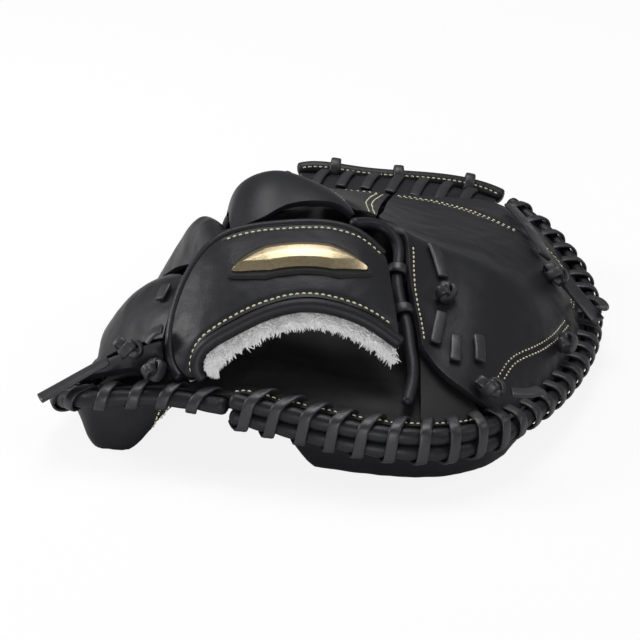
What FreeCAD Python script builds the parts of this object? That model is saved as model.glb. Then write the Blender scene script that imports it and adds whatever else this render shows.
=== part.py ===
"""Baseball catcher's mitt for the left hand, lying on its palm with the wrist end towards -Y.

+X is the thumb side, +Y points to the web and +Z is the back of the hand. The origin is on the floor under
the middle of the mitt. A mitt closes along one crease, from the break in its heel to the middle of its web,
so its leather is laid out in two halves that meet at that crease: the thumb side and the finger side.

The leather follows a maker's pattern. A pattern point is given in millimetres at the pattern's own size, and
at() carries it to its place on a mitt of the size that the sheet asks for. Leathers, rolls, laces and gaps are
sizes of their own.
"""
import FreeCAD, Part
import math
import os

import Sketcher
from FreeCAD import Placement, Rotation, Vector

doc = FreeCAD.newDocument("catchers_mitt")

SIZES = [
    ("mitt_width", 269.0, "thumb rim to little-finger rim"),
    ("mitt_length", 269.0, "heel rim to web rim"),
    ("mitt_height", 108.0, "floor to the top of the index hood"),
    ("face_leather", 3.2, "palm face"),
    ("lining_leather", 2.0, "leather against the palm of the hand"),
    ("back_leather", 3.4, "panels on the back of the hand"),
    ("strap_leather", 4.2, "wrist strap with its stiffener"),
    ("web_leather", 3.0, "one layer of the web"),
    ("pocket_felt", 5.0, "felt under the pocket"),
    ("fleece_depth", 5.0, "pile and backing of the strap lining"),
    ("fleece_drop", 4.0, "fleece showing below the strap"),
    ("layer_gap", 0.3, "free space between neighbouring layers"),
    ("fold_gap", 2.4, "space between the two halves at the crease"),
    ("roll_radius", 3.8, "rolled rim of the palm"),
    ("heel_roll_radius", 3.8, "second roll above the heel rim"),
    ("binding_radius", 3.0, "round binding of the hand opening"),
    ("strap_roll_radius", 3.4, "padded lower edge of the strap"),
    ("strap_binding_radius", 2.4, "bound upper edge of the strap"),
    ("crown_radius", 4.4, "roll along the top of the web"),
    ("lace_width", 5.6, "rawhide lace"),
    ("lace_thickness", 2.0, "rawhide lace"),
    ("lace_slack", 0.8, "lace to the roll that it goes round"),
    ("lace_reach", 8.4, "lace holes to the middle of the rim roll"),
    ("rim_inset", 4.4, "panel edges to the middle of the rim roll"),
    ("pad_inset", 9.0, "felt to the panel edges"),
    ("thumb_laces", 29.0, "turns of lace on the thumb side"),
    ("finger_laces", 22.0, "turns of lace on the finger side"),
    ("badge_length", 66.0, "metal badge"),
    ("badge_height", 16.0, "metal badge"),
    ("badge_thickness", 3.0, "metal badge"),
    ("felt_margin", 3.0, "felt showing round the badge"),
    ("felt_thickness", 1.5, "felt under the badge"),
    ("loop_width", 26.0, "inside of a finger loop, across"),
    ("loop_height", 15.0, "inside of a finger loop, floor to top"),
    ("loop_length", 14.0, "finger loop, along the finger"),
    ("loop_leather", 2.4, "finger loop"),
    ("knot_length", 15.0, "overhand knot in a lace"),
    ("knot_width", 10.0, "overhand knot in a lace"),
    ("knot_height", 8.0, "overhand knot in a lace"),
    ("knot_rounding", 2.6, "overhand knot in a lace"),
    ("tail_width", 8.5, "flat end of a lace"),
    ("tail_thickness", 2.2, "flat end of a lace"),
]

PATTERN_WIDTH = 269.0
PATTERN_LENGTH = 269.0
PATTERN_HEIGHT = 108.0
PATTERN_MIDDLE = (2.8, 3.3, 0.0)

sheet = doc.addObject("Spreadsheet::Sheet", "sizes")
for row, (alias, value, words) in enumerate(SIZES, start=1):
    sheet.set(f"A{row}", alias)
    sheet.set(f"B{row}", str(value))
    sheet.set(f"C{row}", words)
    sheet.setAlias(f"B{row}", alias)
doc.recompute()


def size(alias):
    return float(sheet.get(alias))


GAP = size("layer_gap")
UP = Vector(0, 0, 1)


def shift(x, y, z):
    """A distance on the pattern, at the mitt's size."""
    return Vector(
        x * size("mitt_width") / PATTERN_WIDTH,
        y * size("mitt_length") / PATTERN_LENGTH,
        z * size("mitt_height") / PATTERN_HEIGHT,
    )


def at(x, y, z):
    """The place of a pattern point on the mitt."""
    return shift(x, y, z) - shift(*PATTERN_MIDDLE)


def pattern(points):
    return [at(*p) for p in points]


# ---------------------------------------------------------------- curves
def spline(points):
    curve = Part.BSplineCurve()
    curve.interpolate(points)
    return curve


def length_of(points):
    return sum((b - a).Length for a, b in zip(points, points[1:]))


def spread(points, count):
    """count points, evenly spaced along the smooth curve through points."""
    return spline(points).discretize(Number=count)


def along(points, share):
    """The point at a share of the length of a line of closely spaced points."""
    left = share * length_of(points)
    for a, b in zip(points, points[1:]):
        step = (b - a).Length
        if left <= step:
            return a + (b - a) * (left / step)
        left -= step
    return points[-1]


def stretch(points, first, last, count=40):
    """The piece of a smooth curve between two shares of its length."""
    fine = spread(points, 240)
    return [along(fine, first + (last - first) * k / (count - 1)) for k in range(count)]


def level_normal(points, k):
    """Level unit vector across a line of points, towards the middle of the mitt."""
    ahead = points[min(k + 1, len(points) - 1)] - points[max(k - 1, 0)]
    across = Vector(-ahead.y, ahead.x, 0).normalize()
    middle = at(5, 0, 0)
    if across.dot(Vector(middle.x - points[k].x, middle.y - points[k].y, 0)) < 0:
        across = across * -1
    return across


def inset(points, distance, rise=0.0):
    return [p + level_normal(points, k) * distance + UP * rise for k, p in enumerate(points)]


def smooth(t):
    t = max(0.0, min(1.0, t))
    return t * t * (3 - 2 * t)


# ---------------------------------------------------------------- grids and leather
def normals(grid):
    """Unit normals of a grid of points, upwards in its middle."""
    rows, columns = len(grid), len(grid[0])
    found = []
    for i in range(rows):
        line = []
        for j in range(columns):
            lengthwise = grid[min(i + 1, rows - 1)][j] - grid[max(i - 1, 0)][j]
            across = grid[i][min(j + 1, columns - 1)] - grid[i][max(j - 1, 0)]
            line.append(lengthwise.cross(across).normalize())
        found.append(line)
    sign = 1 if found[rows // 2][columns // 2].z >= 0 else -1
    return [[n * sign for n in line] for line in found]


def moved(grid, distance):
    """The grid, moved along its own normals."""
    return [[p + n * distance for p, n in zip(line, ns)] for line, ns in zip(grid, normals(grid))]


def lofted(edge_a, edge_b, rows, columns, crown, start=0.0, end=1.0, lean=1.0):
    """A grid from one edge to the other, bulging up by crown(share along the edges). lean over 1 moves the
    bulge towards the second edge."""
    a, b = spread(edge_a, rows), spread(edge_b, rows)
    grid = []
    for i in range(rows):
        line = []
        for j in range(columns):
            t = start + (end - start) * j / (columns - 1)
            bulge = crown(i / (rows - 1)) * math.sin(math.pi * max(t, 0) ** lean)
            line.append(a[i] * (1 - t) + b[i] * t + UP * bulge)
        grid.append(line)
    return grid


def face_on(grid):
    surface = Part.BSplineSurface()
    surface.interpolate(grid)
    return surface


def between(upper, lower):
    """The closed solid between two surfaces."""
    walls = []
    for surface in (upper, lower):
        u0, u1, v0, v1 = surface.bounds()
        walls.append([surface.uIso(u0), surface.uIso(u1), surface.vIso(v0), surface.vIso(v1)])
    sides = [Part.makeRuledSurface(a.toShape(), b.toShape()) for a, b in zip(*walls)]
    shell = Part.makeShell([upper.toShape(), lower.toShape(), *sides])
    shell.sewShape()
    solid = Part.makeSolid(shell)
    if solid.Volume < 0:
        solid.reverse()
    return solid


def part_of(surface, first_row, last_row, first_column, last_column, rise):
    """The part of a surface between two rows and two columns of its grid, lifted by rise."""
    rows, columns = surface.getUKnots(), surface.getVKnots()
    cut = surface.copy()
    cut.segment(rows[first_row], rows[last_row], columns[first_column], columns[last_column])
    cut.translate(UP * rise)
    return cut


def slab(top, bottom):
    """The closed solid between two grids of the same size."""
    return between(face_on(top), face_on(bottom))


def leather(grid, thickness):
    """A leather panel whose outer skin is the grid."""
    return slab(grid, moved(grid, -thickness))


def tube(points, radius):
    """A round roll along the smooth curve through points."""
    path = spline(points)
    start = path.FirstParameter
    circle = Part.Circle(path.value(start), Vector(*path.tangent(start)[0]), radius)
    return Part.Wire(path.toShape()).makePipeShell([Part.Wire(circle.toShape())], True, False)


def ribbon(points, up, width, thickness):
    """A flat lace along points, with its upper side towards up."""
    rows = []
    for k, p in enumerate(points):
        ahead = points[min(k + 1, len(points) - 1)] - points[max(k - 1, 0)]
        side = ahead.cross(up).normalize() * (width / 2)
        rows.append([p - side, p, p + side])
    return leather(rows, thickness)


def lace_turn(centre, ahead, reach_in, reach_out, low, high):
    """One turn of lace round the rim, as a flat band. low and high are measured from the centre."""
    width, thickness = size("lace_width"), size("lace_thickness")
    ahead = Vector(ahead).normalize()
    out = ahead.cross(UP).normalize()
    middle = at(5, 0, 0)
    if out.dot(centre - middle) < 0:
        out = out * -1
    above = ahead.cross(out).normalize()
    if above.z < 0:
        above = above * -1

    def outline(grow):
        corner = min(reach_out, (high - low) / 2) * 0.7 + grow
        bend = corner * (1 - math.sqrt(0.5))
        x0, x1, z0, z1 = -reach_in - grow, reach_out + grow, low - grow, high + grow
        corners = [(x0, z0, 1, 1), (x1, z0, -1, 1), (x1, z1, -1, -1), (x0, z1, 1, -1)]
        spots = []
        for n, (x, z, sx, sz) in enumerate(corners):
            upright, flat = (x, z + sz * corner), (x + sx * corner, z)
            first, last = (upright, flat) if n % 2 == 0 else (flat, upright)
            spots.append((first, (x + sx * bend, z + sz * bend), last))
        spots = [[centre + out * x + above * z for x, z in spot] for spot in spots]
        edges = []
        for n, (first, mid, last) in enumerate(spots):
            edges.append(Part.Arc(first, mid, last).toShape())
            edges.append(Part.LineSegment(last, spots[(n + 1) % 4][0]).toShape())
        return Part.Wire(edges)

    band = Part.Face(outline(thickness)).cut(Part.Face(outline(0.0)))
    turn = band.Faces[0].extrude(ahead * width)
    turn.translate(ahead * (-width / 2))
    return turn


subparts = []


def piece(name, shape):
    """Puts a shape into the document as a sub-part of its own."""
    feature = doc.addObject("Part::Feature", name)
    feature.Label = name
    feature.Shape = shape
    feature.Placement = Placement()
    subparts.append(feature)


# ---------------------------------------------------------------- the rim and the crease
RIM = [
    (-48, -113, 36), (-18, -121, 32), (20, -131, 28), (50, -129, 25), (80, -110, 22), (106, -72, 18),
    (128, -18, 15), (138, 34, 15), (134, 82, 21), (118, 117, 30), (98, 137, 40), (50, 138, 51),
    (15, 136, 55), (-18, 135, 57), (-47, 118, 38), (-77, 85, 20), (-97, 42, 12), (-111, -4, 11),
    (-124, -50, 13), (-130, -77, 22), (-118, -93, 30), (-85, -99, 34), (-48, -113, 36),
]
THUMB_HEEL = 4
WEB_THUMB = 10
WEB_INDEX = 13
LITTLE_HEEL = 20

CREASE_HEEL = (-48, -113, 36)
CREASE_WEB = (36.7, 104, 48)

thumb_line = spread(pattern(RIM[: WEB_THUMB + 1]), 240)
finger_line = spread(pattern(RIM[WEB_INDEX:]), 240)
crown_line = pattern(RIM[WEB_THUMB : WEB_INDEX + 1])


def cut_at(line, station):
    """A line of closely spaced points, in two at a station of the rim."""
    corner = at(*RIM[station])
    k = min(range(len(line)), key=lambda n: (line[n] - corner).Length)
    return line[: k + 1], line[k:]


thumb_heel, thumb_side = cut_at(thumb_line, THUMB_HEEL)
finger_side, finger_heel = cut_at(finger_line, LITTLE_HEEL)
thumb_rim = cut_at(thumb_side, WEB_THUMB - 1)[0]
finger_rim = cut_at(finger_side, WEB_INDEX + 1)[1]

CREASE = [CREASE_HEEL, (-28, -62, 38), (-8, -10, 42), (14, 46, 45), CREASE_WEB]
THUMB_WEB_EDGE = [CREASE_WEB, (66, 106, 44), (112, 112, 32)]
FINGER_WEB_EDGE = [CREASE_WEB, (6, 106, 49), (-42, 113, 38)]
PAD_REACH = 38.0
POCKET_RUN = 48.0
LINING_RUN = 34.0
FLOOR_SINK = -1.2


def crossways(side):
    """Level unit vector across the crease, to the thumb side for 1 and to the finger side for -1."""
    heel, web = at(*CREASE_HEEL), at(*CREASE_WEB)
    run = Vector(web.x - heel.x, web.y - heel.y, 0).normalize()
    return Vector(run.y, -run.x, 0) * side


class Palm:
    """Half of the palm as a grid, from the heel to the web and from the crease out to the rim."""

    def __init__(self, side, heel_edge, rim_edge, web_edge, pad_fall, pad_start, pad_run):
        self.pad_fall, self.pad_start, self.pad_run = pad_fall, pad_start, pad_run
        rim_inset = size("rim_inset")
        half_gap = crossways(side) * (size("fold_gap") / 2)
        crease = pattern(CREASE)
        crease[0] += (crease[1] - crease[0]).normalize() * rim_inset
        self.crease = [p + half_gap for p in spread(crease, 60)]
        outline = spread(heel_edge, 60) + spread(rim_edge, 120)[1:]
        outline = inset(outline, rim_inset)
        self.heel = [self.crease[0]] + outline[6:60]
        self.rim = outline[59:]
        web = spread(pattern(web_edge), 60)
        self.web = [self.crease[-1]] + web[3:-3] + [self.rim[-1]]
        self.deep = length_of(self.crease)
        self.wide = length_of(self.heel)
        inset_u = size("pad_inset") / self.deep
        inset_v = size("pad_inset") / self.wide
        near_heel = [0, inset_u / 2, inset_u, 1.6 * inset_u, 2.4 * inset_u]
        near_rim = [1 - 2.4 * inset_v, 1 - 1.6 * inset_v, 1 - inset_v, 1 - inset_v / 2, 1]
        self.us = near_heel + [0.16, 0.25, 0.4, 0.55, 0.7, 0.84, 1 - inset_u, 1]
        self.vs = [0, inset_v, 0.2, 0.32, 0.46, 0.6] + near_rim

    def edge(self, u, v):
        """The smooth sheet through the four edges."""
        heel, web = along(self.heel, v), along(self.web, v)
        crease, rim = along(self.crease, u), along(self.rim, u)
        corners = self.heel[0] * ((1 - u) * (1 - v)) + self.heel[-1] * ((1 - u) * v)
        corners += self.web[0] * (u * (1 - v)) + self.web[-1] * (u * v)
        return heel * (1 - u) + web * u + crease * (1 - v) + rim * v - corners

    def from_rim(self, u, v):
        to_heel = max(u * self.deep, 0.01)
        to_rim = max((1 - v) * self.wide, 0.01)
        return (to_heel**-3 + to_rim**-3) ** (-1 / 3)

    def beside_crease(self, v):
        """0 at the crease, where the face stays up, and 1 where the pad begins."""
        return smooth((v * self.wide - self.pad_start) / self.pad_run)

    def skin(self, u, v):
        """The palm face's outer skin: it rolls down from the rim to its pads and up again in the pocket."""
        point = self.edge(u, v) + UP * (-size("face_leather") - GAP / 2)
        distance = self.from_rim(u, v)
        pad = smooth(distance / self.pad_fall) * (1 - smooth((distance - PAD_REACH) / POCKET_RUN))
        pad *= self.beside_crease(v) * (1 - smooth((u - 0.62) / 0.32))
        return Vector(point.x, point.y, point.z * (1 - pad) + FLOOR_SINK * pad)

    def inward(self, u, v):
        """Which way the leather's thickness goes: up, and inwards where the face is steep."""
        steep = (1 - smooth((self.from_rim(u, v) - 6) / 18)) * smooth(self.from_rim(u, v) / 4)
        steep *= self.beside_crease(v) * (1 - smooth((u - 0.62) / 0.32))
        centre = along(self.crease, 0.2 + 0.6 * u)
        point = self.edge(u, v)
        level = Vector(centre.x - point.x, centre.y - point.y, 0)
        if level.Length > 1:
            level.normalize()
        return (UP + level * steep * 1.1).normalize()

    def lining(self, u, v):
        """The underside of the leather that the hand lies on."""
        rise = 2 * GAP + size("pocket_felt") * (1 - 0.8 * smooth((u - 0.7) / 0.3))
        return self.edge(u, v) + UP * (GAP / 2 + rise * smooth(self.from_rim(u, v) / LINING_RUN))

    def surface(self, point):
        return face_on([[point(u, v) for v in self.vs] for u in self.us])

    def face(self):
        thickness = size("face_leather")
        self.inner_skin = self.surface(lambda u, v: self.skin(u, v) + self.inward(u, v) * thickness)
        reach = 1.5 * max(size("mitt_width"), size("mitt_length"))
        below = Part.makeBox(reach, reach, 20, Vector(-reach / 2, -reach / 2, -20))
        return between(self.inner_skin, self.surface(self.skin)).cut(below)

    def felt(self):
        """The felt fills what is left between the face and the lining, inside the lace holes."""
        lower = part_of(self.inner_skin, 3, -2, 1, -4, GAP)
        upper = part_of(self.surface(self.lining), 3, -2, 1, -4, -GAP)
        return between(upper, lower)

    def lining_sheet(self):
        whole = self.surface(self.lining)
        lower = part_of(whole, 0, -2, 0, -4, 0)
        upper = part_of(whole, 0, -2, 0, -4, size("lining_leather"))
        return between(upper, lower)


thumb_palm = Palm(1, thumb_heel, thumb_rim, THUMB_WEB_EDGE, 15.0, 8.0, 28.0)
finger_palm = Palm(-1, finger_heel[::-1], finger_rim[::-1], FINGER_WEB_EDGE, 9.0, 22.0, 34.0)
for word, palm in (("thumb", thumb_palm), ("fingers", finger_palm)):
    piece(f"palm_leather_{word}", palm.face())
    piece(f"palm_felt_{word}", palm.felt())
    piece(f"palm_lining_{word}", palm.lining_sheet())


# ---------------------------------------------------------------- rolls and laces round the rim
HEEL_SHARE = length_of(thumb_heel) / length_of(thumb_line)
ROLL_DROP = size("roll_radius") + GAP / 2


def heel_part(share):
    """1 where the heel has two rolls, one above the other, and 0 where the rim has one."""
    return 1 - smooth((share - HEEL_SHARE + 0.02) / 0.07)


def rim_path(line, first, last, count, lift):
    points = []
    for k in range(count):
        share = first + (last - first) * k / (count - 1)
        points.append(along(line, share) + UP * lift(share))
    return points


piece(
    "rim_roll_thumb",
    tube(rim_path(thumb_line, 0.008, 0.985, 44, lambda share: -ROLL_DROP * heel_part(share)), size("roll_radius")),
)
piece("rim_roll_fingers", tube(rim_path(finger_line, 0.015, 0.992, 40, lambda share: 0), size("roll_radius")))
HEEL_ROLL_LIFT = size("heel_roll_radius") + GAP / 2
piece(
    "heel_roll",
    tube(rim_path(thumb_line, 0.008, HEEL_SHARE, 18, lambda share: HEEL_ROLL_LIFT), size("heel_roll_radius")),
)
piece(
    "web_crown",
    tube(stretch(crown_line, 0.02, 0.98, 16), size("crown_radius")),
)


def rim_laces(line, count, first, last, has_heel):
    turns = []
    for k in range(count):
        share = first + (last - first) * k / (count - 1)
        double = has_heel * heel_part(share)
        clear = size("roll_radius") + size("lace_slack")
        high = clear + double * (HEEL_ROLL_LIFT + size("heel_roll_radius") - size("roll_radius"))
        low = -clear - double * ROLL_DROP
        centre = along(line, share)
        ahead = along(line, min(share + 0.01, 1)) - along(line, max(share - 0.01, 0))
        ahead.z = 0
        turns.append(lace_turn(centre, ahead, size("lace_reach"), clear, low, high))
    return Part.makeCompound(turns)


piece("rim_laces_thumb", rim_laces(thumb_line, int(size("thumb_laces")), 0.025, 0.965, 1))
piece("rim_laces_fingers", rim_laces(finger_line, int(size("finger_laces")), 0.04, 0.955, 0))


# ---------------------------------------------------------------- wrist strap, fleece and badge
# Ribs across the strap, from its finger end to its thumb end, each from the upper edge to the lower one.
STRAP_RIBS = [
    ((-74, -96, 44.5), (-57, -100.5, 44.5)), ((-78.5, -87, 49), (-60.5, -100.5, 48.5)), ((-78.5, -71, 60), (-60, -99, 55)),
    ((-72, -53, 75.5), (-54, -97.5, 60.5)), ((-58, -37.5, 90), (-43, -95, 66)), ((-40, -30, 94.5), (-29, -92, 72)),
    ((-22, -29.5, 96.5), (-12, -90, 75)), ((-3, -29, 96.5), (4, -90, 72.5)), ((14, -31.5, 92.5), (19, -91.5, 66.5)),
    ((26, -38.5, 84.5), (33, -94, 57)),
]
STRAP_CROWN = 5.0
STRAP_ROWS = 19


def in_step(points, count):
    """count points on the smooth curve through points, with as many between any two neighbours."""
    last = len(points) - 1
    curve = Part.BSplineCurve()
    curve.interpolate(Points=points, Parameters=[k / last for k in range(last + 1)])
    return [curve.value(k / (count - 1)) for k in range(count)]


strap_upper = in_step(pattern([upper for upper, lower in STRAP_RIBS]), STRAP_ROWS)
strap_lower = in_step(pattern([lower for upper, lower in STRAP_RIBS]), STRAP_ROWS)


def strap_grid(first, last, columns):
    """The strap's outer skin between two lines along it. A line is a share of the width and a distance from it."""
    grid = []
    for i, (upper, lower) in enumerate(zip(strap_upper, strap_lower)):
        width = (lower - upper).Length
        start, end = (share + distance / width for share, distance in (first, last))
        crown = STRAP_CROWN * smooth(i / (STRAP_ROWS - 1) / 0.5)
        line = []
        for j in range(columns):
            t = start + (end - start) * j / (columns - 1)
            line.append(upper * (1 - t) + lower * t + UP * (crown * math.sin(math.pi * t)))
        grid.append(line)
    return grid


def strap_edge_roll(share, distance, radius, start=0.0, end=1.0):
    """A roll along part of a line of the strap, its inner side flush with the strap's own."""
    strip = strap_grid((share, distance - 2), (share, distance + 2), 3)
    centre = spread([line[1] for line in moved(strip, radius - size("strap_leather"))], 90)
    return tube([along(centre, start + (end - start) * k / 14) for k in range(15)], radius)


upper_trim = 2 * size("strap_binding_radius") + 5 * GAP
lower_trim = 2 * size("strap_roll_radius") + 2 * GAP
strap_skin = strap_grid((0, upper_trim), (1, -lower_trim), 9)
piece("wrist_strap", leather(strap_skin, size("strap_leather")))
BINDING_PARTING = 0.53
PARTING_GAP = 0.004
binding_radius = size("strap_binding_radius")
piece("strap_binding", strap_edge_roll(0, binding_radius, binding_radius, BINDING_PARTING + PARTING_GAP))
piece("strap_roll", strap_edge_roll(1, -size("strap_roll_radius"), size("strap_roll_radius")))
fleece_skin = moved(
    strap_grid((0, upper_trim), (1, size("fleece_drop")), 11), -size("strap_leather") - GAP
)
piece("strap_fleece", leather(fleece_skin, size("fleece_depth")))

BADGE_REACH = shift(49, 0, 0).x
BADGE_SEAT = 0.53


def on_strap(length, height):
    """The strap's outer skin under a plate of a given length and height."""
    fine = strap_grid((BADGE_SEAT, -height / 2), (BADGE_SEAT, height / 2), 5)
    columns = [spread([line[j] for line in fine[::-1]], 60) for j in range(5)]
    reaches = [BADGE_REACH + length / 2 - length * k / 10 for k in range(11)]
    return [[along(column, reach / length_of(column)) for column in columns] for reach in reaches]


felt_seat = on_strap(
    size("badge_length") + 2 * size("felt_margin"), size("badge_height") + 2 * size("felt_margin")
)
badge_seat = on_strap(size("badge_length"), size("badge_height"))
felt_top = GAP + size("felt_thickness")
piece("badge_felt", slab(moved(felt_seat, felt_top), moved(felt_seat, GAP)))
badge_low = felt_top + GAP
piece("badge_plate", slab(moved(badge_seat, badge_low + size("badge_thickness")), moved(badge_seat, badge_low)))


# ---------------------------------------------------------------- bindings of the hand opening
THUMB_BINDING = [
    (12, -20, 90), (25, -14, 86), (32, -18, 81), (34, -27, 75), (33, -38, 70), (34, -52, 63), (37, -68, 56),
    (38, -80, 51), (39, -92, 46), (38, -102, 41), (36, -110, 37.5),
]
piece("finger_binding", strap_edge_roll(0, binding_radius, binding_radius, 0, BINDING_PARTING))
piece("thumb_binding", tube(pattern(THUMB_BINDING), size("binding_radius")))


# ---------------------------------------------------------------- back of the thumb
def rim_seat(line, share):
    """Where the outer skin of a back panel meets the rim."""
    fine = [along(line, min(max(share + step, 0), 1)) for step in (-0.01, 0, 0.01)]
    return inset(fine, size("rim_inset"), GAP / 2 + size("back_leather"))[1]


def pushed(grid, towards, fade=2):
    """The grid with its last row bulging out. A higher fade keeps the bulge nearer to that row."""
    rows, columns = len(grid), len(grid[0])
    for i in range(rows):
        for j in range(columns):
            share = i / (rows - 1)
            grid[i][j] = grid[i][j] + towards * (share**fade * math.sin(math.pi * j / (columns - 1)))
    return grid


PANEL_EDGE = pattern([
    (44, -84, 55), (42.7, -68, 61), (39.7, -52, 68), (38.7, -38, 75), (38.7, -26, 80), (36, -12, 85),
    (27, 0, 84.5), (27, 22, 79), (30, 58, 69), (36, 98, 58.5),
])
panel_rim = [rim_seat(thumb_line, HEEL_SHARE + 0.01 + (0.9 - HEEL_SHARE) * k / 11) for k in range(12)]
thumb_skin = pushed(
    lofted(PANEL_EDGE, panel_rim, 17, 13, lambda share: 7 + 9 * math.sin(math.pi * share), lean=1.6),
    shift(2, 5, 0),
)
thumb_skin = pushed(thumb_skin[::-1], shift(-3, -9, -3), fade=4)[::-1]
piece("thumb_back_panel", leather(thumb_skin, size("back_leather")))



# ---------------------------------------------------------------- backs of the fingers
INDEX_HOLE = pattern([
    (-49, -26, 89), (-41, -26, 92.5), (-32, -23, 95.5), (-24, -16, 97.5), (-14, -10, 98), (-2, -8, 97), (7, -7, 93.5),
    (12, -8, 90),
])
HOOD_SEAM = pattern([
    (-53, 24, 76), (-49, 34, 84), (-39, 41, 89.5), (-26, 43, 91.5), (-12, 36, 91), (1, 24, 90), (10, 4, 89),
])
hood_skin = lofted(
    INDEX_HOLE, HOOD_SEAM, 13, 9, lambda share: 1 + (1 - share) * (5 + 9 * math.sin(math.pi * share**0.7))
)
piece("index_hood", leather(hood_skin, size("back_leather")))

INDEX_PANEL_EDGE = pattern([(13, 8, 86), (-1, 29, 86), (-9, 46, 82), (-8, 75, 72), (-4, 101, 60)])
SHORT_SEAM = pattern([(23.5, 5, 84), (24.5, 22, 79), (27.5, 58, 69), (33, 97, 58.5)])
index_panel_skin = lofted(INDEX_PANEL_EDGE, SHORT_SEAM, 11, 5, lambda share: 1.0)
piece("index_back_panel", leather(index_panel_skin, size("back_leather")))

stalls = (
    ("index_stall",
     [(-52, 33, 76), (-57, 57, 57)], 0.17,
     [(-13, 51, 80), (-12, 75, 71), (-9, 101, 59.5)], None, 8.0, 0.0, (-9, 14, 0)),
    ("middle_stall",
     [(-62, -41, 77.5), (-72, -18, 67), (-84, 6, 51), (-93, 22, 35), (-97, 29, 24)], 0.49,
     [(-50, -22, 86), (-54, 4, 79), (-58, 28, 68), (-63, 54, 51), (-69, 70, 36)], 0.20, 6.5, 10.0, (-1, 0, 1)),
    ("ring_stall",
     [(-80.5, -74, 53.5), (-93, -64.5, 46), (-108, -54, 35), (-116, -44, 25)], 0.79,
     [(-69, -43, 71.5), (-77, -22, 64), (-89, 1, 48), (-99, 15, 33), (-102.5, 21, 23)], 0.52, 4.0, 8.0, (-6, 0, 0)),
    ("little_stall",
     [(-79, -91, 46.5), (-92, -89, 45), (-106, -85, 41), (-118, -77, 34)], 0.93,
     [(-81.5, -75.5, 52.5), (-94, -67, 44.5), (-109, -59, 33), (-118.5, -52.5, 23.5)], 0.83, 3.0, 0.0, (-1, 0, 1.5)),
)
stall_skins = {}
for name, low_edge, low_share, high_edge, high_share, crown, swell, push in stalls:
    low_line = pattern(low_edge) + [rim_seat(finger_line, 0.10 + 0.62 * low_share)]
    high_line = pattern(high_edge)
    if high_share is not None:
        high_line.append(rim_seat(finger_line, 0.10 + 0.62 * high_share))
    skin = lofted(
        high_line, low_line, 13, 9, lambda share: (crown + swell * math.sin(math.pi * share)) * (1 - 0.7 * share**2)
    )
    stall_skins[name] = pushed(skin, shift(*push))
    piece(name, leather(stall_skins[name], size("back_leather")))


# ---------------------------------------------------------------- web
WEB_BACK_NEAR = pattern([(-13, 106, 59), (17, 105, 57), (40, 104, 54), (66, 106, 49), (92, 114, 40)])
WEB_BACK_FAR = pattern([(-16, 130.5, 58), (15, 131.5, 56), (50, 133, 52), (75, 133, 47), (93, 131, 42)])
WEB_FACE_NEAR = pattern([(-13, 112, 46), (10, 111, 46), (37, 109, 44), (66, 111, 40), (96, 117, 33)])
WEB_FACE_FAR = pattern([(-16, 130, 52), (15, 131, 50), (50, 133, 46), (75, 133, 41), (95, 131, 35)])
web_back_skin = lofted(WEB_BACK_NEAR, WEB_BACK_FAR, 11, 5, lambda share: 1.5)
piece("web_back", leather(web_back_skin, size("web_leather")))
piece("web_face", leather(lofted(WEB_FACE_NEAR, WEB_FACE_FAR, 11, 5, lambda share: -1.0), size("web_leather")))


# ---------------------------------------------------------------- laces on the back
def on_skin(skin, spots, lift):
    """Points lifted off a skin. A spot is a row and a column of its grid, and may fall between points."""
    raised = moved(skin, lift)
    points = []
    for row, column in spots:
        i, j = min(int(row), len(skin) - 2), min(int(column), len(skin[0]) - 2)
        r, c = row - i, column - j
        near = raised[i][j] * (1 - c) + raised[i][j + 1] * c
        far = raised[i + 1][j] * (1 - c) + raised[i + 1][j + 1] * c
        points.append(near * (1 - r) + far * r)
    return points


def flat_lace(points, count, width="lace_width", thickness="lace_thickness"):
    return ribbon(spread(points, count), UP, size(width), size(thickness))


LACE_LIFT = size("lace_thickness") + 3 * GAP
TAIL_LIFT = size("tail_thickness") + 7 * GAP
KNOT_LIFT = 5 * GAP


def web_lace(row):
    """A flat lace that slants across the back of the web, from the thumb panel's edge to the crown."""
    return flat_lace(on_skin(web_back_skin, [(row, 0.1), (row + 0.4, 2), (row + 0.8, 3.9)], LACE_LIFT), 5)


piece("web_laces", Part.makeCompound([web_lace(0.5 + 1.25 * k) for k in range(7)]))


def crown_loop(share):
    """A lace that binds the crown roll."""
    centre = along(crown_fine, share)
    ahead = along(crown_fine, share + 0.02) - along(crown_fine, share - 0.02)
    reach = size("crown_radius") + size("lace_slack")
    return lace_turn(centre, ahead, reach, reach, -reach, reach)


crown_fine = spread(crown_line, 120)
CROWN_LOOPS = (0.18, 0.52, 0.82)
piece("crown_loops", Part.makeCompound([crown_loop(share) for share in CROWN_LOOPS]))

binding_fine = spread(pattern(THUMB_BINDING), 120)
STRAP_LACES = (0.36, 0.56)


def strap_lace(share):
    """A lace that ties the end of the strap to the thumb binding."""
    centre = along(binding_fine, share)
    ahead = along(binding_fine, share + 0.02) - along(binding_fine, share - 0.02)
    reach = size("binding_radius") + size("lace_slack")
    return lace_turn(centre, ahead, reach, reach, -reach, reach)


piece("strap_laces", Part.makeCompound([strap_lace(share) for share in STRAP_LACES]))


# ---------------------------------------------------------------- side of the hand opening
SIDE_LOW = pattern([(42, -120, 33), (52, -120, 31.5), (64, -116.5, 29.5), (73, -109, 27.5)])
SIDE_UNDERLAP = -size("back_leather") - 8 * GAP
side_high = on_skin(thumb_skin, [(0.7, 0.8), (0.7, 2.0), (0.7, 3.4), (0.7, 4.6)], SIDE_UNDERLAP)
side_skin = lofted(SIDE_LOW, side_high, 9, 5, lambda share: 1.0)
piece("heel_side_panel", leather(side_skin, size("lining_leather")))


# ---------------------------------------------------------------- finger loops and knots
def plane_of(body, role):
    return next(plane for plane in body.Origin.OriginFeatures if plane.Role == role)


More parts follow.
